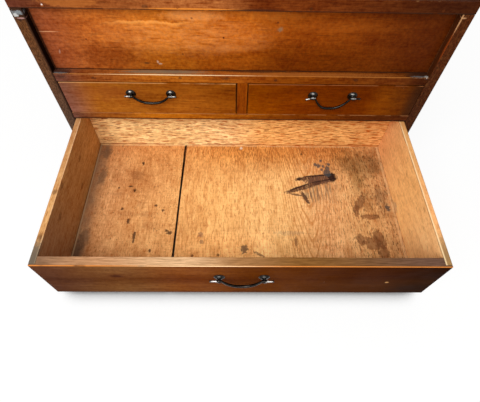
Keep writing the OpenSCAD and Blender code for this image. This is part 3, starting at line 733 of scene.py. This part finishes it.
def left_bottom_marks(wood):
    """Flecks, faint blotches and marks along the left wall, with painted shade beside it."""
    for place in (
        (-219, -211, 3, 3), (-227, -286, 3, 4), (-237, -276, 5, 2), (-177, -324, 3, 3), (-229, -363, 3, 6),
        (-212, -396, 3, 9), (-143, -389, 5, 4), (-161, -336, 3, 3), (-246, -333, 3, 3), (-149, -384, 3, 3),
        (-177, -428, 2.5, 4), (-212, -408, 2, 4), (-262, -280, 2, 2), (-218, -214, 2, 4),
    ):
        wood.colour_spot("43291c", 0.85, on_flat(*place), 0.6, 0.25)
    for strength, *place in (
        (0.3, -198, -346, 14, 6), (0.25, -208, -322, 10, 9), (0.4, -228, -247, 15, 12),
        (0.3, -224, -289, 12, 4), (0.25, -262, -296, 12, 3), (0.2, -186, -372, 20, 8),
        (0.2, -236, -345, 18, 10),
    ):
        wood.multiply_spot("8a6250", strength, on_flat(*place), 0.8, 0.6, 6)
    wood.multiply_spot("c09a74", 0.45, on_flat(-230, -262, 44, 44), 0.6, 0.6, 14)
    # Painted shade: a greyish darker band beside the left wall.
    margin = wood.fade(wood.noise((14, 40, 14), seed=77), 0.35, 0.6, 0.35, 0.8)
    wood.cover(wood.times(margin, wood.fade(wood.x, -288, -316)), "8c745c", 0.8)
    for place in ((-306, -180, 9, 18), (-303, -248, 8, 22), (-309, -402, 9, 22), (-318, -430, 8, 30)):
        wood.colour_spot("5c4a3c", 0.55, on_flat(*place), 0.6, 0.5)
    # Painted shade towards the front left corner.
    wood.multiply_masked(wood.times(wood.fade(wood.x, -200, -315), wood.fade(wood.y, -380, -470)), "a08468", 0.5)
    wood.pores("6a4428", 0.5, 6, 2.4, share=0.66, seed=16)


def left_bottom_wood():
    wood = bottom_wood(21, "long_bottom_left_wood", 0.7, 1.0)
    left_bottom_marks(wood)
    wood.arris("c0a078", 0.7, (-323.6, None, BOTTOM_Z), 1.6, 0.25, 60)
    return leave_bare(wood)


def right_bottom_wood():
    wood = bottom_wood(22, "long_bottom_right_wood", 0.85, 0.7)
    cathedral(wood)
    spill(wood)
    right_bottom_marks(wood)
    wood.arris("e8c08a", 0.4, (321, None, BOTTOM_Z), 2.6, 0.35)
    return leave_bare(wood)


def long_back_wood():
    wood = Wood("long_back_wood", "X", 23)
    tone = wood.ramp(
        wood.x, (-325, "ffd48e"), (-150, "ffda94"), (-40, "ffda98"), (60, "f8be70"), (200, "ecb066"),
        (325, "e8aa64"),
    )
    wood.grain(tone, 0.85, blotch=(60, 14), streak=(34, 3))
    field = wood.noise((19, 9, 3.0), seed=75)
    wood.cover(wood.times(wood.fade(field, 0.53, 0.61), wood.fade(wood.x, -120, 120, 0.75, 0.9)), "c4621e")
    wood.pores("8c4418", 0.85, 22, 2.2, share=0.60, seed=13)
    # Painted shade towards the top of the back, under the case.
    wood.multiply_masked(wood.fade(wood.z, 78, 124), "b88e5c", 0.3)
    wood.multiply_spot("9a9aa0", 0.3, on_front(-306, 84, 8, 8), 0.6, 0.6)
    wood.arris("9a4c20", 0.6, (None, LONG_BACK_Y, 30), 2.2, 0.35, 60)
    return leave_bare(wood)


def long_side_wood(side):
    """A side of the long drawer: its inner face and its rim have their own tones along Y."""
    left = side == "left"
    wood = Wood(f"long_side_{side}_wood", "Y", 24 if left else 25)
    # Painted light and shade: the left wall's inner face is painted darker and the right wall's lighter, as
    # light from the left would make them.
    if left:
        inner = wood.ramp(wood.y, (-492, "9a7450"), (-300, "b0844e"), (-150, "c89454"))
        rim = wood.ramp(wood.y, (-508, "806846"), (-440, "c49058"), (-150, "b88454"))
    else:
        inner = wood.ramp(wood.y, (-492, "ffca88"), (-330, "ffc87e"), (-150, "f2b272"))
        rim = wood.ramp(wood.y, (-508, "a07c4c"), (-425, "f0ae6e"), (-240, "dca060"), (-150, "b47840"))
    tone = wood.mix(wood.fade(wood.z, 137.6, 138.8), inner, rim)
    wood.grain(tone, 0.8 if left else 0.6, blotch=(60, 20), streak=(34, 4), line=0.9 if left else 0.6)
    wood.pores("8e5426", 0.6 if left else 0.3, 15, 1.8, share=0.6)
    soft = (0.6, 0.5)
    if left:
        for y, z in ((-350, 132), (-400, 107), (-300, 60), (-260, 100)):
            wood.colour_spot("5a3420", 0.5, ((-326, y, z), (FAR, 8, 4)), *soft)
        for y in (-369, -458):
            wood.colour_spot("4a2a18", 0.6, ((-330, y, 139), (4, 5, 3)), *soft)
        wood.arris("4e3220", 0.6, (-WALL_X, None, 26), 2.4, 0.3)
        wood.arris("f0c898", 0.5, (-WALL_X, None, RIM_Z), 1.6, 0.4, 60)
        wood.colour_spot("5a544c", 0.75, ((-330, -492, 139), (11, 24, 5)), 0.4, 0.5)
    else:
        for y, z in ((-395, 128), (-300, 107), (-290, 72), (-185, 45)):
            wood.colour_spot("9c6034", 0.4, ((326, y, z), (FAR, 6, 3)), *soft)
        wood.colour_spot("8a8478", 0.4, ((326, -325, 30), (FAR, 12, 6)), *soft)
        wood.colour_spot("6e5c44", 0.4, ((331, -478, 139), (6, 26, 5)), *soft)
        wood.arris("fbe0b0", 0.6, (325.2, None, RIM_Z), 1.6, 0.3, 60)
        wood.colour_spot("d0955a", 0.8, ((325.2, -172, RIM_Z), (2.4, 34, 2.4)), 0.3, 0.5)
        wood.arris("7a5030", 0.45, (WALL_X, None, 137.4), 1.2, 0.35, 60)
        wood.arris(DIRT_AND_SHADE, 0.25, (335.2, None, RIM_Z), 1.5, 0.3, 60)
    return leave_bare(wood)


HEARTS = {"X": (0, 500, 90), "Y": (400, 0, 80)}


def plain_wood(name, axis, seed, tone, contrast=1.0):
    """Wood that the photograph doesn't show: the same softwood with its own grain."""
    wood = Wood(name, axis, seed)
    wood.grain(tone, contrast, streak=(50, 4), ring=wood.rings(HEARTS[axis], wander=7))
    wood.pores("6b3f22", 0.4, 12, 1.4)
    wood.patches("6a5a4a", 0.3, 60, share=0.58)
    wood.specks("4a3424", 0.6, 22, 1.6, share=0.3)
    return leave_bare(wood, gloss=0.02)


def lid_board_wood():
    wood = varnished(
        "lid_wood", 34, (-355, "7a452a"), (-150, "a5602b"), (30, "7f421a"), (355, "542a16"), contrast=1.2
    )
    wood.patches(DIRT_AND_SHADE, 0.3, (90, 60, 60), share=0.6)
    return varnish(wood, WOOD_GLOSS)


# Iron and steel

# Bright steel colour, for worn metal and for painted highlights.
WORN_STEEL_AND_HIGHLIGHT = "dddad4"


def metal_paint(name, seed, tone, worn, rust, share):
    """Colours of metal: a tone, its worn parts and a share of rust."""
    paint = Paint(name)
    paint.field = paint.noise(7, seed=seed, detail=5, rough=0.65)
    fine = paint.noise(1.1, seed=seed + 1)
    paint.colour = paint.mix(paint.fade(paint.field, 0.35, 0.7), tone, worn)
    paint.cover(paint.fade(paint.field, share, share + 0.12), rust)
    paint.raise_by(fine, 0.05)
    paint.raise_by(paint.field, 0.12)
    return paint


def metal_finish(paint, smoothest, roughest, metallic):
    spread = paint.fade(paint.field, 0.3, 0.75, smoothest, roughest)
    return paint.finish(spread, metallic=metallic, gloss=0.5)


def strip_nail_metal():
    """The nail at the left end is bare and bright; varnish covers the others."""
    paint = metal_paint("strip_nail_metal", 57, "8a4a20", "7a4018", "5a2c10", 0.6)
    paint.cover(paint.fade(paint.x, -60, 100), "4a220c")
    paint.colour_spot("d0c4bc", 0.9, on_front(-303, 374, 1.3, 1.3), 0.2)
    return paint.finish(0.7, gloss=VARNISH_GLOSS)


# Pieces

SINK = 0.16 * MM
SLOW_WAVE = 160 * MM
QUICK_WAVE = 35 * MM
BEVEL = 1.1 * MM
BEVEL_SEGMENTS = 3
WORN_STRETCH = 50 * MM
CORNER_ANGLE = 0.5
STEP = 14 * MM
FINE_STEP = 10 * MM
TINY = 1e-6


def add_piece(node, ending, mesh_data, material):
    """Adds a mesh that stands for a CAD node, named after it."""
    name = f"{node}_{ending}"
    mesh = bpy.data.meshes.new(name)
    mesh_data.to_mesh(mesh)
    mesh_data.free()
    mesh.materials.append(material)
    mesh.polygons.foreach_set("use_smooth", [True] * len(mesh.polygons))
    piece = add_object(name, mesh)
    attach(piece, BODY_OF[node])
    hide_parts(node)
    return piece


def grid_lines(low, high, cuts, step):
    """Places of the lattice between two ends: the ends, the cuts and even steps between them."""
    fixed = sorted({low, high, *[cut for cut in cuts if low + TINY < cut < high - TINY]})
    lines = [low]
    for start, end in zip(fixed, fixed[1:]):
        count = max(1, round((end - start) / step))
        lines += [start + (end - start) * i / count for i in range(1, count + 1)]
    return lines


def unevenness(point, axis, seed):
    """How far a face sinks at a point, in metres: a slow wave and a little tool roughness."""
    shifted = point + Vector((seed * 1.7, axis * 3.3, seed * 0.9))
    slow = noise.noise(shifted / SLOW_WAVE)
    quick = noise.noise(shifted / QUICK_WAVE)
    return SINK * (1.0 + 0.75 * slow + 0.2 * quick)


def lattice_mesh(low, high, holes, step, seed):
    """A closed mesh of a box less some boxes, divided into small faces that lie slightly uneven."""
    lines = [
        grid_lines(low[a], high[a], [corner[a] for hole in holes for corner in hole], step)
        for a in range(3)
    ]
    counts = [len(line) - 1 for line in lines]

    def solid(cell):
        if any(not 0 <= cell[a] < counts[a] for a in range(3)):
            return False
        middle = [(lines[a][cell[a]] + lines[a][cell[a] + 1]) / 2 for a in range(3)]
        return not any(all(hole[0][a] < middle[a] < hole[1][a] for a in range(3)) for hole in holes)

    mesh = bmesh.new()
    vertices, sinks = {}, {}

    def add_face(cell, axis, side):
        """One small face of a cell, on its lower side (0) or upper side (1) along an axis."""
        u, v = [a for a in range(3) if a != axis]
        ring = []
        for du, dv in ((0, 0), (1, 0), (1, 1), (0, 1)):
            corner = list(cell)
            for a, step in ((axis, side), (u, du), (v, dv)):
                corner[a] += step
            index = tuple(corner)
            if index not in vertices:
                vertices[index] = mesh.verts.new([lines[a][index[a]] for a in range(3)])
            sinks.setdefault(index, {})[axis] = 2 * side - 1
            ring.append(vertices[index])
        mesh.faces.new(ring)

    for cell in filter(solid, product(*map(range, counts))):
        for axis, side in product(range(3), (0, 1)):
            neighbour = list(cell)
            neighbour[axis] += 2 * side - 1
            if not solid(neighbour):
                add_face(cell, axis, side)
    bmesh.ops.recalc_face_normals(mesh, faces=mesh.faces)
    for index, corner in vertices.items():
        place = corner.co.copy()
        for axis, side in sinks[index].items():
            corner.co[axis] -= side * unevenness(place, axis, seed)
    return mesh


def soften_edges(mesh, seed, wear):
    """Marks the outer edges for the bevel, each stretch a little more or less worn."""
    weight = mesh.edges.layers.float.new("bevel_weight_edge")
    for edge in mesh.edges:
        angle = edge.calc_face_angle_signed(0.0)
        if angle > CORNER_ANGLE:
            middle = (edge.verts[0].co + edge.verts[1].co) / 2
            worn = noise.noise(middle / WORN_STRETCH + Vector((seed, 0, 0)))
            edge[weight] = min(1.0, max(0.35, 0.62 + 0.5 * worn)) * wear
        elif angle < -CORNER_ANGLE:
            edge.smooth = False


def slant(mesh, node):
    """Moves a bottom board's edge along the gap, which isn't parallel to its other edge."""
    low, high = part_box(node)
    corners = [vertex.co for vertex in NODES[node].data.vertices]
    pick, wall, gap = (max, low.x, high.x) if "left" in node else (min, high.x, low.x)
    front = pick(corner.x for corner in corners if abs(corner.y - low.y) < MM)
    back = pick(corner.x for corner in corners if abs(corner.y - high.y) < MM)
    for vertex in mesh.verts:
        edge = front + (back - front) * (vertex.co.y - low.y) / (high.y - low.y)
        vertex.co.x = wall + (vertex.co.x - wall) * (edge - wall) / (gap - wall)


def board(node, material, let_in=(), pockets=(), step=STEP, wear=0.8):
    """A board in a node's box, less the boxes of the nodes let into it and its pockets."""
    low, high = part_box(node)
    seed = sorted(NODES).index(node)
    holes = [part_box(other) for other in let_in] + list(pockets)
    mesh = lattice_mesh(low, high, holes, step, seed)
    if node.startswith("long_bottom"):
        slant(mesh, node)
    soften_edges(mesh, seed, wear)
    piece = add_piece(node, "wood", mesh, material)
    bevel = piece.modifiers.new("worn edges", "BEVEL")
    bevel.width = BEVEL
    bevel.segments = BEVEL_SEGMENTS
    bevel.limit_method = "WEIGHT"
    bevel.use_clamp_overlap = True
    normals = piece.modifiers.new("even shading", "WEIGHTED_NORMAL")
    normals.keep_sharp = True


# Boards of the case and the lid

LEAF_T = 1.6 * MM
RUN_GAP = 0.3 * MM


def leaf_pocket(node):
    """The pocket for a hinge leaf, from its inner edge to the outside of the board."""
    low, high = (corner.copy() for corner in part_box(node))
    middle = (low.z + high.z) / 2
    into = -1 if "case" in node else 1
    low.z, high.z = sorted((middle - into * RUN_GAP, middle + into * (RUN_GAP / 2 + LEAF_T)))
    return low, high


def leaf_pockets(kind):
    return [leaf_pocket(f"hinge_{side}_{kind}_leaf") for side in SIDES]


def case_boards():
    backs = ("back_board_upper", "back_board_lower")
    for side in SIDES:
        board(f"side_{side}", side_board_wood(side), let_in=backs, step=FINE_STEP, wear=1.0)
    board("front_panel", panel_wood())
    board("compartment_floor", ledge_wood(), step=FINE_STEP)
    board("middle_rail", rail_wood(), step=FINE_STEP)
    board("drawer_divider", divider_wood())
    board("bottom_board", plain_wood("bottom_board_wood_finish", "X", 31, "9a6a40"))
    runners = plain_wood("runner_wood", "Y", 32, "b98452")
    for node in ("runner_left", "runner_right", "runner_centre"):
        board(node, runners)
    backs_wood = plain_wood("back_wood", "X", 33, "7c5638", contrast=1.2)
    board("back_board_upper", backs_wood, pockets=leaf_pockets("case"))
    board("back_board_lower", backs_wood)
    board("lid_board", lid_board_wood(), pockets=leaf_pockets("lid"))
    board("lid_front_strip", strip_wood(), step=FINE_STEP)
    battens = plain_wood("batten_wood", "Y", 35, "b98452")
    for node in ("lid_batten_left", "lid_batten_right"):
        board(node, battens)
    set_material("drawer_stops", plain_wood("stop_wood", "X", 36, "b98452"))


# Drawers

def drawer_boards():
    long_sides = ("long_side_left", "long_side_right", "long_bottom_left", "long_bottom_right")
    board("long_front", long_front_wood(), let_in=long_sides, step=FINE_STEP, wear=1.0)
    for side in SIDES:
        board(f"long_side_{side}", long_side_wood(side))
    board("long_back", long_back_wood())
    board("long_bottom_left", left_bottom_wood())
    board("long_bottom_right", right_bottom_wood())
    for side, seed in zip(SIDES, (41, 45)):
        let_in = (f"{side}_side_left", f"{side}_side_right", f"{side}_bottom")
        board(f"{side}_front", small_front_wood(side), let_in=let_in, step=FINE_STEP)
        walls = plain_wood(f"{side}_wall_wood", "Y", seed, "cf9660")
        board(f"{side}_side_left", walls)
        board(f"{side}_side_right", walls)
        board(f"{side}_back", plain_wood(f"{side}_back_wood", "X", seed + 1, "cf9660"))
        board(f"{side}_bottom", plain_wood(f"{side}_bottom_wood", "X", seed + 2, "dba368"))


# Pulls. Profiles and paths are in millimetres

LATHE_STEPS = 40
WIRE_SIDES = 14
X_AXIS = Vector((1, 0, 0))
Y_AXIS = Vector((0, 1, 0))
Z_AXIS = Vector((0, 0, 1))
SHANK = 2.0
NECK = 2.7
BALL_TURNS = 12
FLAT_FRONT = 0.94
PLATE_PROFILE = (
    (0.2, 0), (0, 0.3), (0.2, 0.55), (1.2, 0.75), (1.7, 1.3), (2.3, 2), (3.3, 2.7), (4.6, 3.2), (5.9, 3.55),
)
BOSS_PROFILE = ((2.2, 0.6), (2.75, 0.75), (2.85, 1.02), (2.5, 1.16), (1.9, 1.16), (1.78, 0.9))
THIN_WIRE = 1.8
THICK_WIRE = 2.6
BEND_IN = 3.6
CURVE_STEPS = 16
STEPS_PER_SPAN = 4
FLATNESS = 2.6


def add_ring(mesh, centre, across, up, radius, sides):
    """Vertices in a circle round a centre, in the plane of two directions."""
    turns = [2 * math.pi * step / sides for step in range(sides)]
    spokes = [across * math.cos(turn) + up * math.sin(turn) for turn in turns]
    return [mesh.verts.new(centre + spoke * radius) for spoke in spokes]


def join_rings(mesh, rings):
    """Faces between rings of vertices, each ring closed, with points or flat caps at the ends."""
    for first, second in zip(rings, rings[1:]):
        steps = max(len(first), len(second))
        for step in range(steps):
            after = (step + 1) % steps
            corners = [first[step % len(first)], first[after % len(first)]]
            corners += [second[after % len(second)], second[step % len(second)]]
            mesh.faces.new(list(dict.fromkeys(corners)))
    for ring in (rings[0], rings[-1]):
        if len(ring) > 1:
            mesh.faces.new(ring)
    bmesh.ops.recalc_face_normals(mesh, faces=mesh.faces)


def lathe(mesh, middle, profile):
    """Turns a profile of (radius, distance out of the drawer front) round the Y axis."""
    rings = []
    for radius, out in profile:
        centre = middle + Vector((0, -out * MM, 0))
        if radius == 0:
            rings.append([mesh.verts.new(centre)])
        else:
            rings.append(add_ring(mesh, centre, X_AXIS, Z_AXIS, radius * MM, LATHE_STEPS))
    join_rings(mesh, rings)


def post_middles(pull):
    """The middles of a pull's two balls, from the box of its posts."""
    low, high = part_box(f"{pull}_posts")
    radius = (high.z - low.z) / 2
    return [Vector((x, low.y + radius, low.z + radius)) for x in (low.x + radius, high.x - radius)]


def rosettes(pull, material):
    """Turned plates behind the posts: a rim, a groove and a low dome."""
    low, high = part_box(f"{pull}_rosettes")
    thick = (high.y - low.y) / MM
    wide = (high.z - low.z) / 2 / MM
    profile = [(0, 0), *[(wide - inward, out) for inward, out in PLATE_PROFILE]]
    profile += [(3.2, thick - 0.05), (0, thick)]
    mesh = bmesh.new()
    for middle in post_middles(pull):
        lathe(mesh, Vector((middle.x, high.y, middle.z)), profile)
    add_piece(f"{pull}_rosettes", "turned", mesh, material)


def posts(pull, material):
    """Turned posts: a shank through the front, a collar, a neck and a ball with a boss at each side."""
    low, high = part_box(f"{pull}_posts")
    middles = post_middles(pull)
    radius = (high.z - low.z) / 2 / MM
    back = (middles[0].y - high.y) / MM
    front = (middles[0].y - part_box(f"{pull}_rosettes")[1].y) / MM
    profile = [(0, back), (1.6, back), (SHANK, back + 0.4), (SHANK, front), (SHANK, front + 0.6)]
    profile += [(3.6, front + 3.2), (3.7, front + 3.7), (3.2, front + 4.0), (NECK, front + 4.2)]
    start = math.asin(NECK / radius)
    for step in range(BALL_TURNS + 1):
        angle = start + (math.pi - start) * step / BALL_TURNS
        flat = FLAT_FRONT if angle > math.pi / 2 else 1.0
        wide = max(0.0, radius * math.sin(angle)) if step < BALL_TURNS else 0
        profile.append((wide, -radius * flat * math.cos(angle)))
    mesh = bmesh.new()
    for middle in middles:
        lathe(mesh, middle, profile)
        for side in (-1, 1):
            boss(mesh, middle, side * radius * MM)
    add_piece(f"{pull}_posts", "turned", mesh, material)


def boss(mesh, middle, reach):
    """The small raised rim round the hole that the bail's end goes through."""
    join_rings(mesh, [
        add_ring(mesh, middle + X_AXIS * (out * reach), Y_AXIS, Z_AXIS, wide * MM, LATHE_STEPS)
        for wide, out in BOSS_PROFILE
    ])


def spline(t, p, q, r, s):
    """A value between q and r on a Catmull-Rom curve, whose neighbours are p and s."""
    return q + 0.5 * t * (r - p + (2 * p - 5 * q + 4 * r - s) * t + (3 * q - p - 3 * r + s) * t * t)


def smooth_path(points):
    """A Catmull-Rom curve through points of any number of values."""
    padded = [points[0]] + points + [points[-1]]
    path = []
    for i in range(len(points) - 1):
        a, b, c, d = padded[i:i + 4]
        for step in range(STEPS_PER_SPAN):
            path.append([spline(step / STEPS_PER_SPAN, *values) for values in zip(a, b, c, d)])
    path.append(points[-1])
    return path


def bail(pull, material, low_x, droop):
    """A bent wire: the ends through the balls, slanting sides and a flattish low curve.
    low_x moves its lowest point sideways and droop lowers its left end, in millimetres."""
    low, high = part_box(f"{pull}_bail")
    left, right = post_middles(pull)
    middle = (left + right) / 2
    half = (right.x - left.x) / 2 / MM
    reach = (high.x - low.x) / 2 / MM
    bottom = (middle.z - low.z) / MM - THICK_WIRE
    start = half - BEND_IN
    ends = (
        (reach - 0.3, 1, 0.8), (reach - 0.8, 1, 1.8), (reach - 2.2, 1, 2.2), (reach - 3.8, 0.8, 1.7),
        (half + 2.8, 0.2, THIN_WIRE), (half, 0, THIN_WIRE), (half - 3.2, 0, THIN_WIRE),
    )
    points = [(-x, -droop * share, thick) for x, share, thick in ends]
    for step in range(1, CURVE_STEPS):
        run = 2 * step / CURVE_STEPS - 1
        side = start + low_x if run < 0 else start - low_x
        thick = THIN_WIRE + (THICK_WIRE - THIN_WIRE) * (1 - abs(run) ** 3)
        points.append((low_x + run * side, -bottom * (1 - abs(run) ** FLATNESS), thick))
    points += [(x, 0, thick) for x, _, thick in reversed(ends)]
    path = smooth_path(points)
    mesh = bmesh.new()
    rings = []
    for i, (x, z, radius) in enumerate(path):
        before, after = path[max(0, i - 1)], path[min(len(path) - 1, i + 1)]
        run = Vector((after[0] - before[0], 0, after[1] - before[1])).normalized()
        across = Vector((-run.z, 0, run.x))
        centre = middle + Vector((x, 0, z)) * MM
        rings.append(add_ring(mesh, centre, across, Y_AXIS, radius * MM, WIRE_SIDES))
    join_rings(mesh, rings)
    add_piece(f"{pull}_bail", "bent", mesh, material)


# Bright places at the bail ends of each pull, worn steel and painted highlight: side, out, up, width and
# strength
WORN_STEEL_AND_HIGHLIGHT_ENDS = {
    "long": ((-1, 7.5, 0.5, 7.5, 0.62), (1, 6.5, 0.5, 7.5, 0.75)),
    "left": ((-1, 3.5, 1.2, 6.0, 0.42), (1, 1.5, 1.2, 7.0, 0.42)),
    "right": ((-1, 11.0, -1.4, 4.5, 0.6), (-1, 0.5, 1.6, 4.0, 0.34), (1, 0.5, 1.6, 5.0, 0.3)),
}


def pull_iron(pull, seed):
    """Blackened iron, with painted highlights on the domes, and worn steel with painted highlight at the ends
    of the bail.
    """
    paint = metal_paint(f"{pull}_pull_iron", seed, "221e1c", "36322e", "3a2c22", 0.64)
    left, right = [middle / MM for middle in post_middles(pull)]
    for side, out, up, wide, strength in WORN_STEEL_AND_HIGHLIGHT_ENDS[pull]:
        x, y, z = left if side < 0 else right
        paint.colour_spot(WORN_STEEL_AND_HIGHLIGHT, strength, ((x + out * side, y - 0.6, z + up), (wide, 2.6, 1.7)), 0.4)
    # Painted highlights on the tops of the domes.
    strength = 0.3 if pull == "long" else 0.45
    dome_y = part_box(f"{pull}_rosettes")[0].y / MM
    for x, y, z in (left, right):
        paint.colour_spot(WORN_STEEL_AND_HIGHLIGHT, strength, ((x - 0.5, dome_y + 1.2, z + 6), (2.4, 1.6, 1.2)), 0.5)
    return metal_finish(paint, 0.22, 0.36, 1.0)


def pulls():
    shapes = {"long": (0.0, 0.0), "left": (0.5, 0.0), "right": (-5.0, 3.0)}
    for seed, (pull, (low_x, droop)) in enumerate(shapes.items(), 61):
        iron = pull_iron(pull, seed)
        rosettes(pull, iron)
        posts(pull, iron)
        bail(pull, iron, low_x, droop)


# Fasteners and hinges keep their CAD shapes

def set_material(node, material):
    """Gives a node's own mesh a material."""
    for place in NODES[node].material_slots:
        place.material = material


def metal_parts():
    iron = metal_finish(metal_paint("blackened_iron", 51, "39363a", "4d4a4a", "4a3a30", 0.64), 0.25, 0.45, 1)
    nails = metal_finish(metal_paint("rusty_nails", 53, "3a2a20", "574434", "6b432a", 0.5), 0.45, 0.7, 0.6)
    steel = metal_finish(metal_paint("dull_steel", 55, "6f6c68", "8f8c86", "7a5a40", 0.62), 0.35, 0.6, 0.9)
    leaves = [f"hinge_{side}_{kind}_leaf" for side in SIDES for kind in ("case", "lid")]
    finishes = (
        (nails, ("case_nails", "back_nails", "long_brads", "left_brads", "right_brads")),
        (strip_nail_metal(), ("strip_nails",)),
        (iron, ("batten_screws", "hinge_case_screws", "hinge_lid_screws", *leaves)),
        (steel, ("hinge_pins", "long_nuts", "left_nuts", "right_nuts")),
    )
    for material, nodes in finishes:
        for node in nodes:
            set_material(node, material)


# Floor, light and background

FLOOR_HALF = 6.0
FLOOR_GLOW = 0.9
CONTACT_SHADE = 0.05
WORLD_FILL = 0.64
KEY_POWER = 70.0
KEY_SIZE = 2.1
KEY_DISTANCE = 2.6
KEY_FROM = Vector((-0.32, -0.60, 0.73))
KEY_AIM = Vector((0, -0.25, 0.15))


def make_floor():
    paint = Paint("floor_finish")
    paint.colour = paint.mix(paint.noise(400, detail=2), "e9e8e6", "f1f0ee")
    paint.finish(0.9, gloss=0.1, bump=0.1)
    open_air = paint.add("ShaderNodeAmbientOcclusion", Distance=CONTACT_SHADE).outputs["AO"]
    glow = paint.add("ShaderNodeEmission", Strength=paint.fade(open_air, 0.3, 0.8))
    seen = paint.times(paint.background_rays(), FLOOR_GLOW)
    blend = paint.add("ShaderNodeMixShader", seen, paint.shader.outputs["BSDF"], glow.outputs[0])
    paint.link(blend.outputs[0], paint.output.inputs["Surface"])
    mesh = bpy.data.meshes.new("floor")
    corners = [(x * FLOOR_HALF, y * FLOOR_HALF, 0) for x, y in ((-1, -1), (1, -1), (1, 1), (-1, 1))]
    mesh.from_pydata(corners, [], [(0, 1, 2, 3)])
    mesh.materials.append(paint.material)
    add_object("floor", mesh)


def make_light():
    world = bpy.data.worlds.new("studio")
    bpy.context.scene.world = world
    world.use_nodes = True
    sky = Tree(world.node_tree)
    strength = sky.fade(sky.background_rays(), 0.0, 1.0, WORLD_FILL, 1.0, kind="LINEAR")
    background = sky.add("ShaderNodeBackground", (1, 1, 1, 1), strength)
    sky.add("ShaderNodeOutputWorld", background.outputs[0])
    lamp = bpy.data.lights.new("key", "AREA")
    lamp.shape = "DISK"
    lamp.size = KEY_SIZE
    lamp.energy = KEY_POWER
    key = add_object("key", lamp)
    towards = KEY_FROM.normalized()
    key.location = KEY_AIM + towards * KEY_DISTANCE
    key.rotation_mode = "QUATERNION"
    key.rotation_quaternion = towards.to_track_quat("Z", "Y")


bpy.context.scene.view_settings.view_transform = "Standard"
make_camera()
make_light()
make_floor()
case_boards()
drawer_boards()
pulls()
metal_parts()
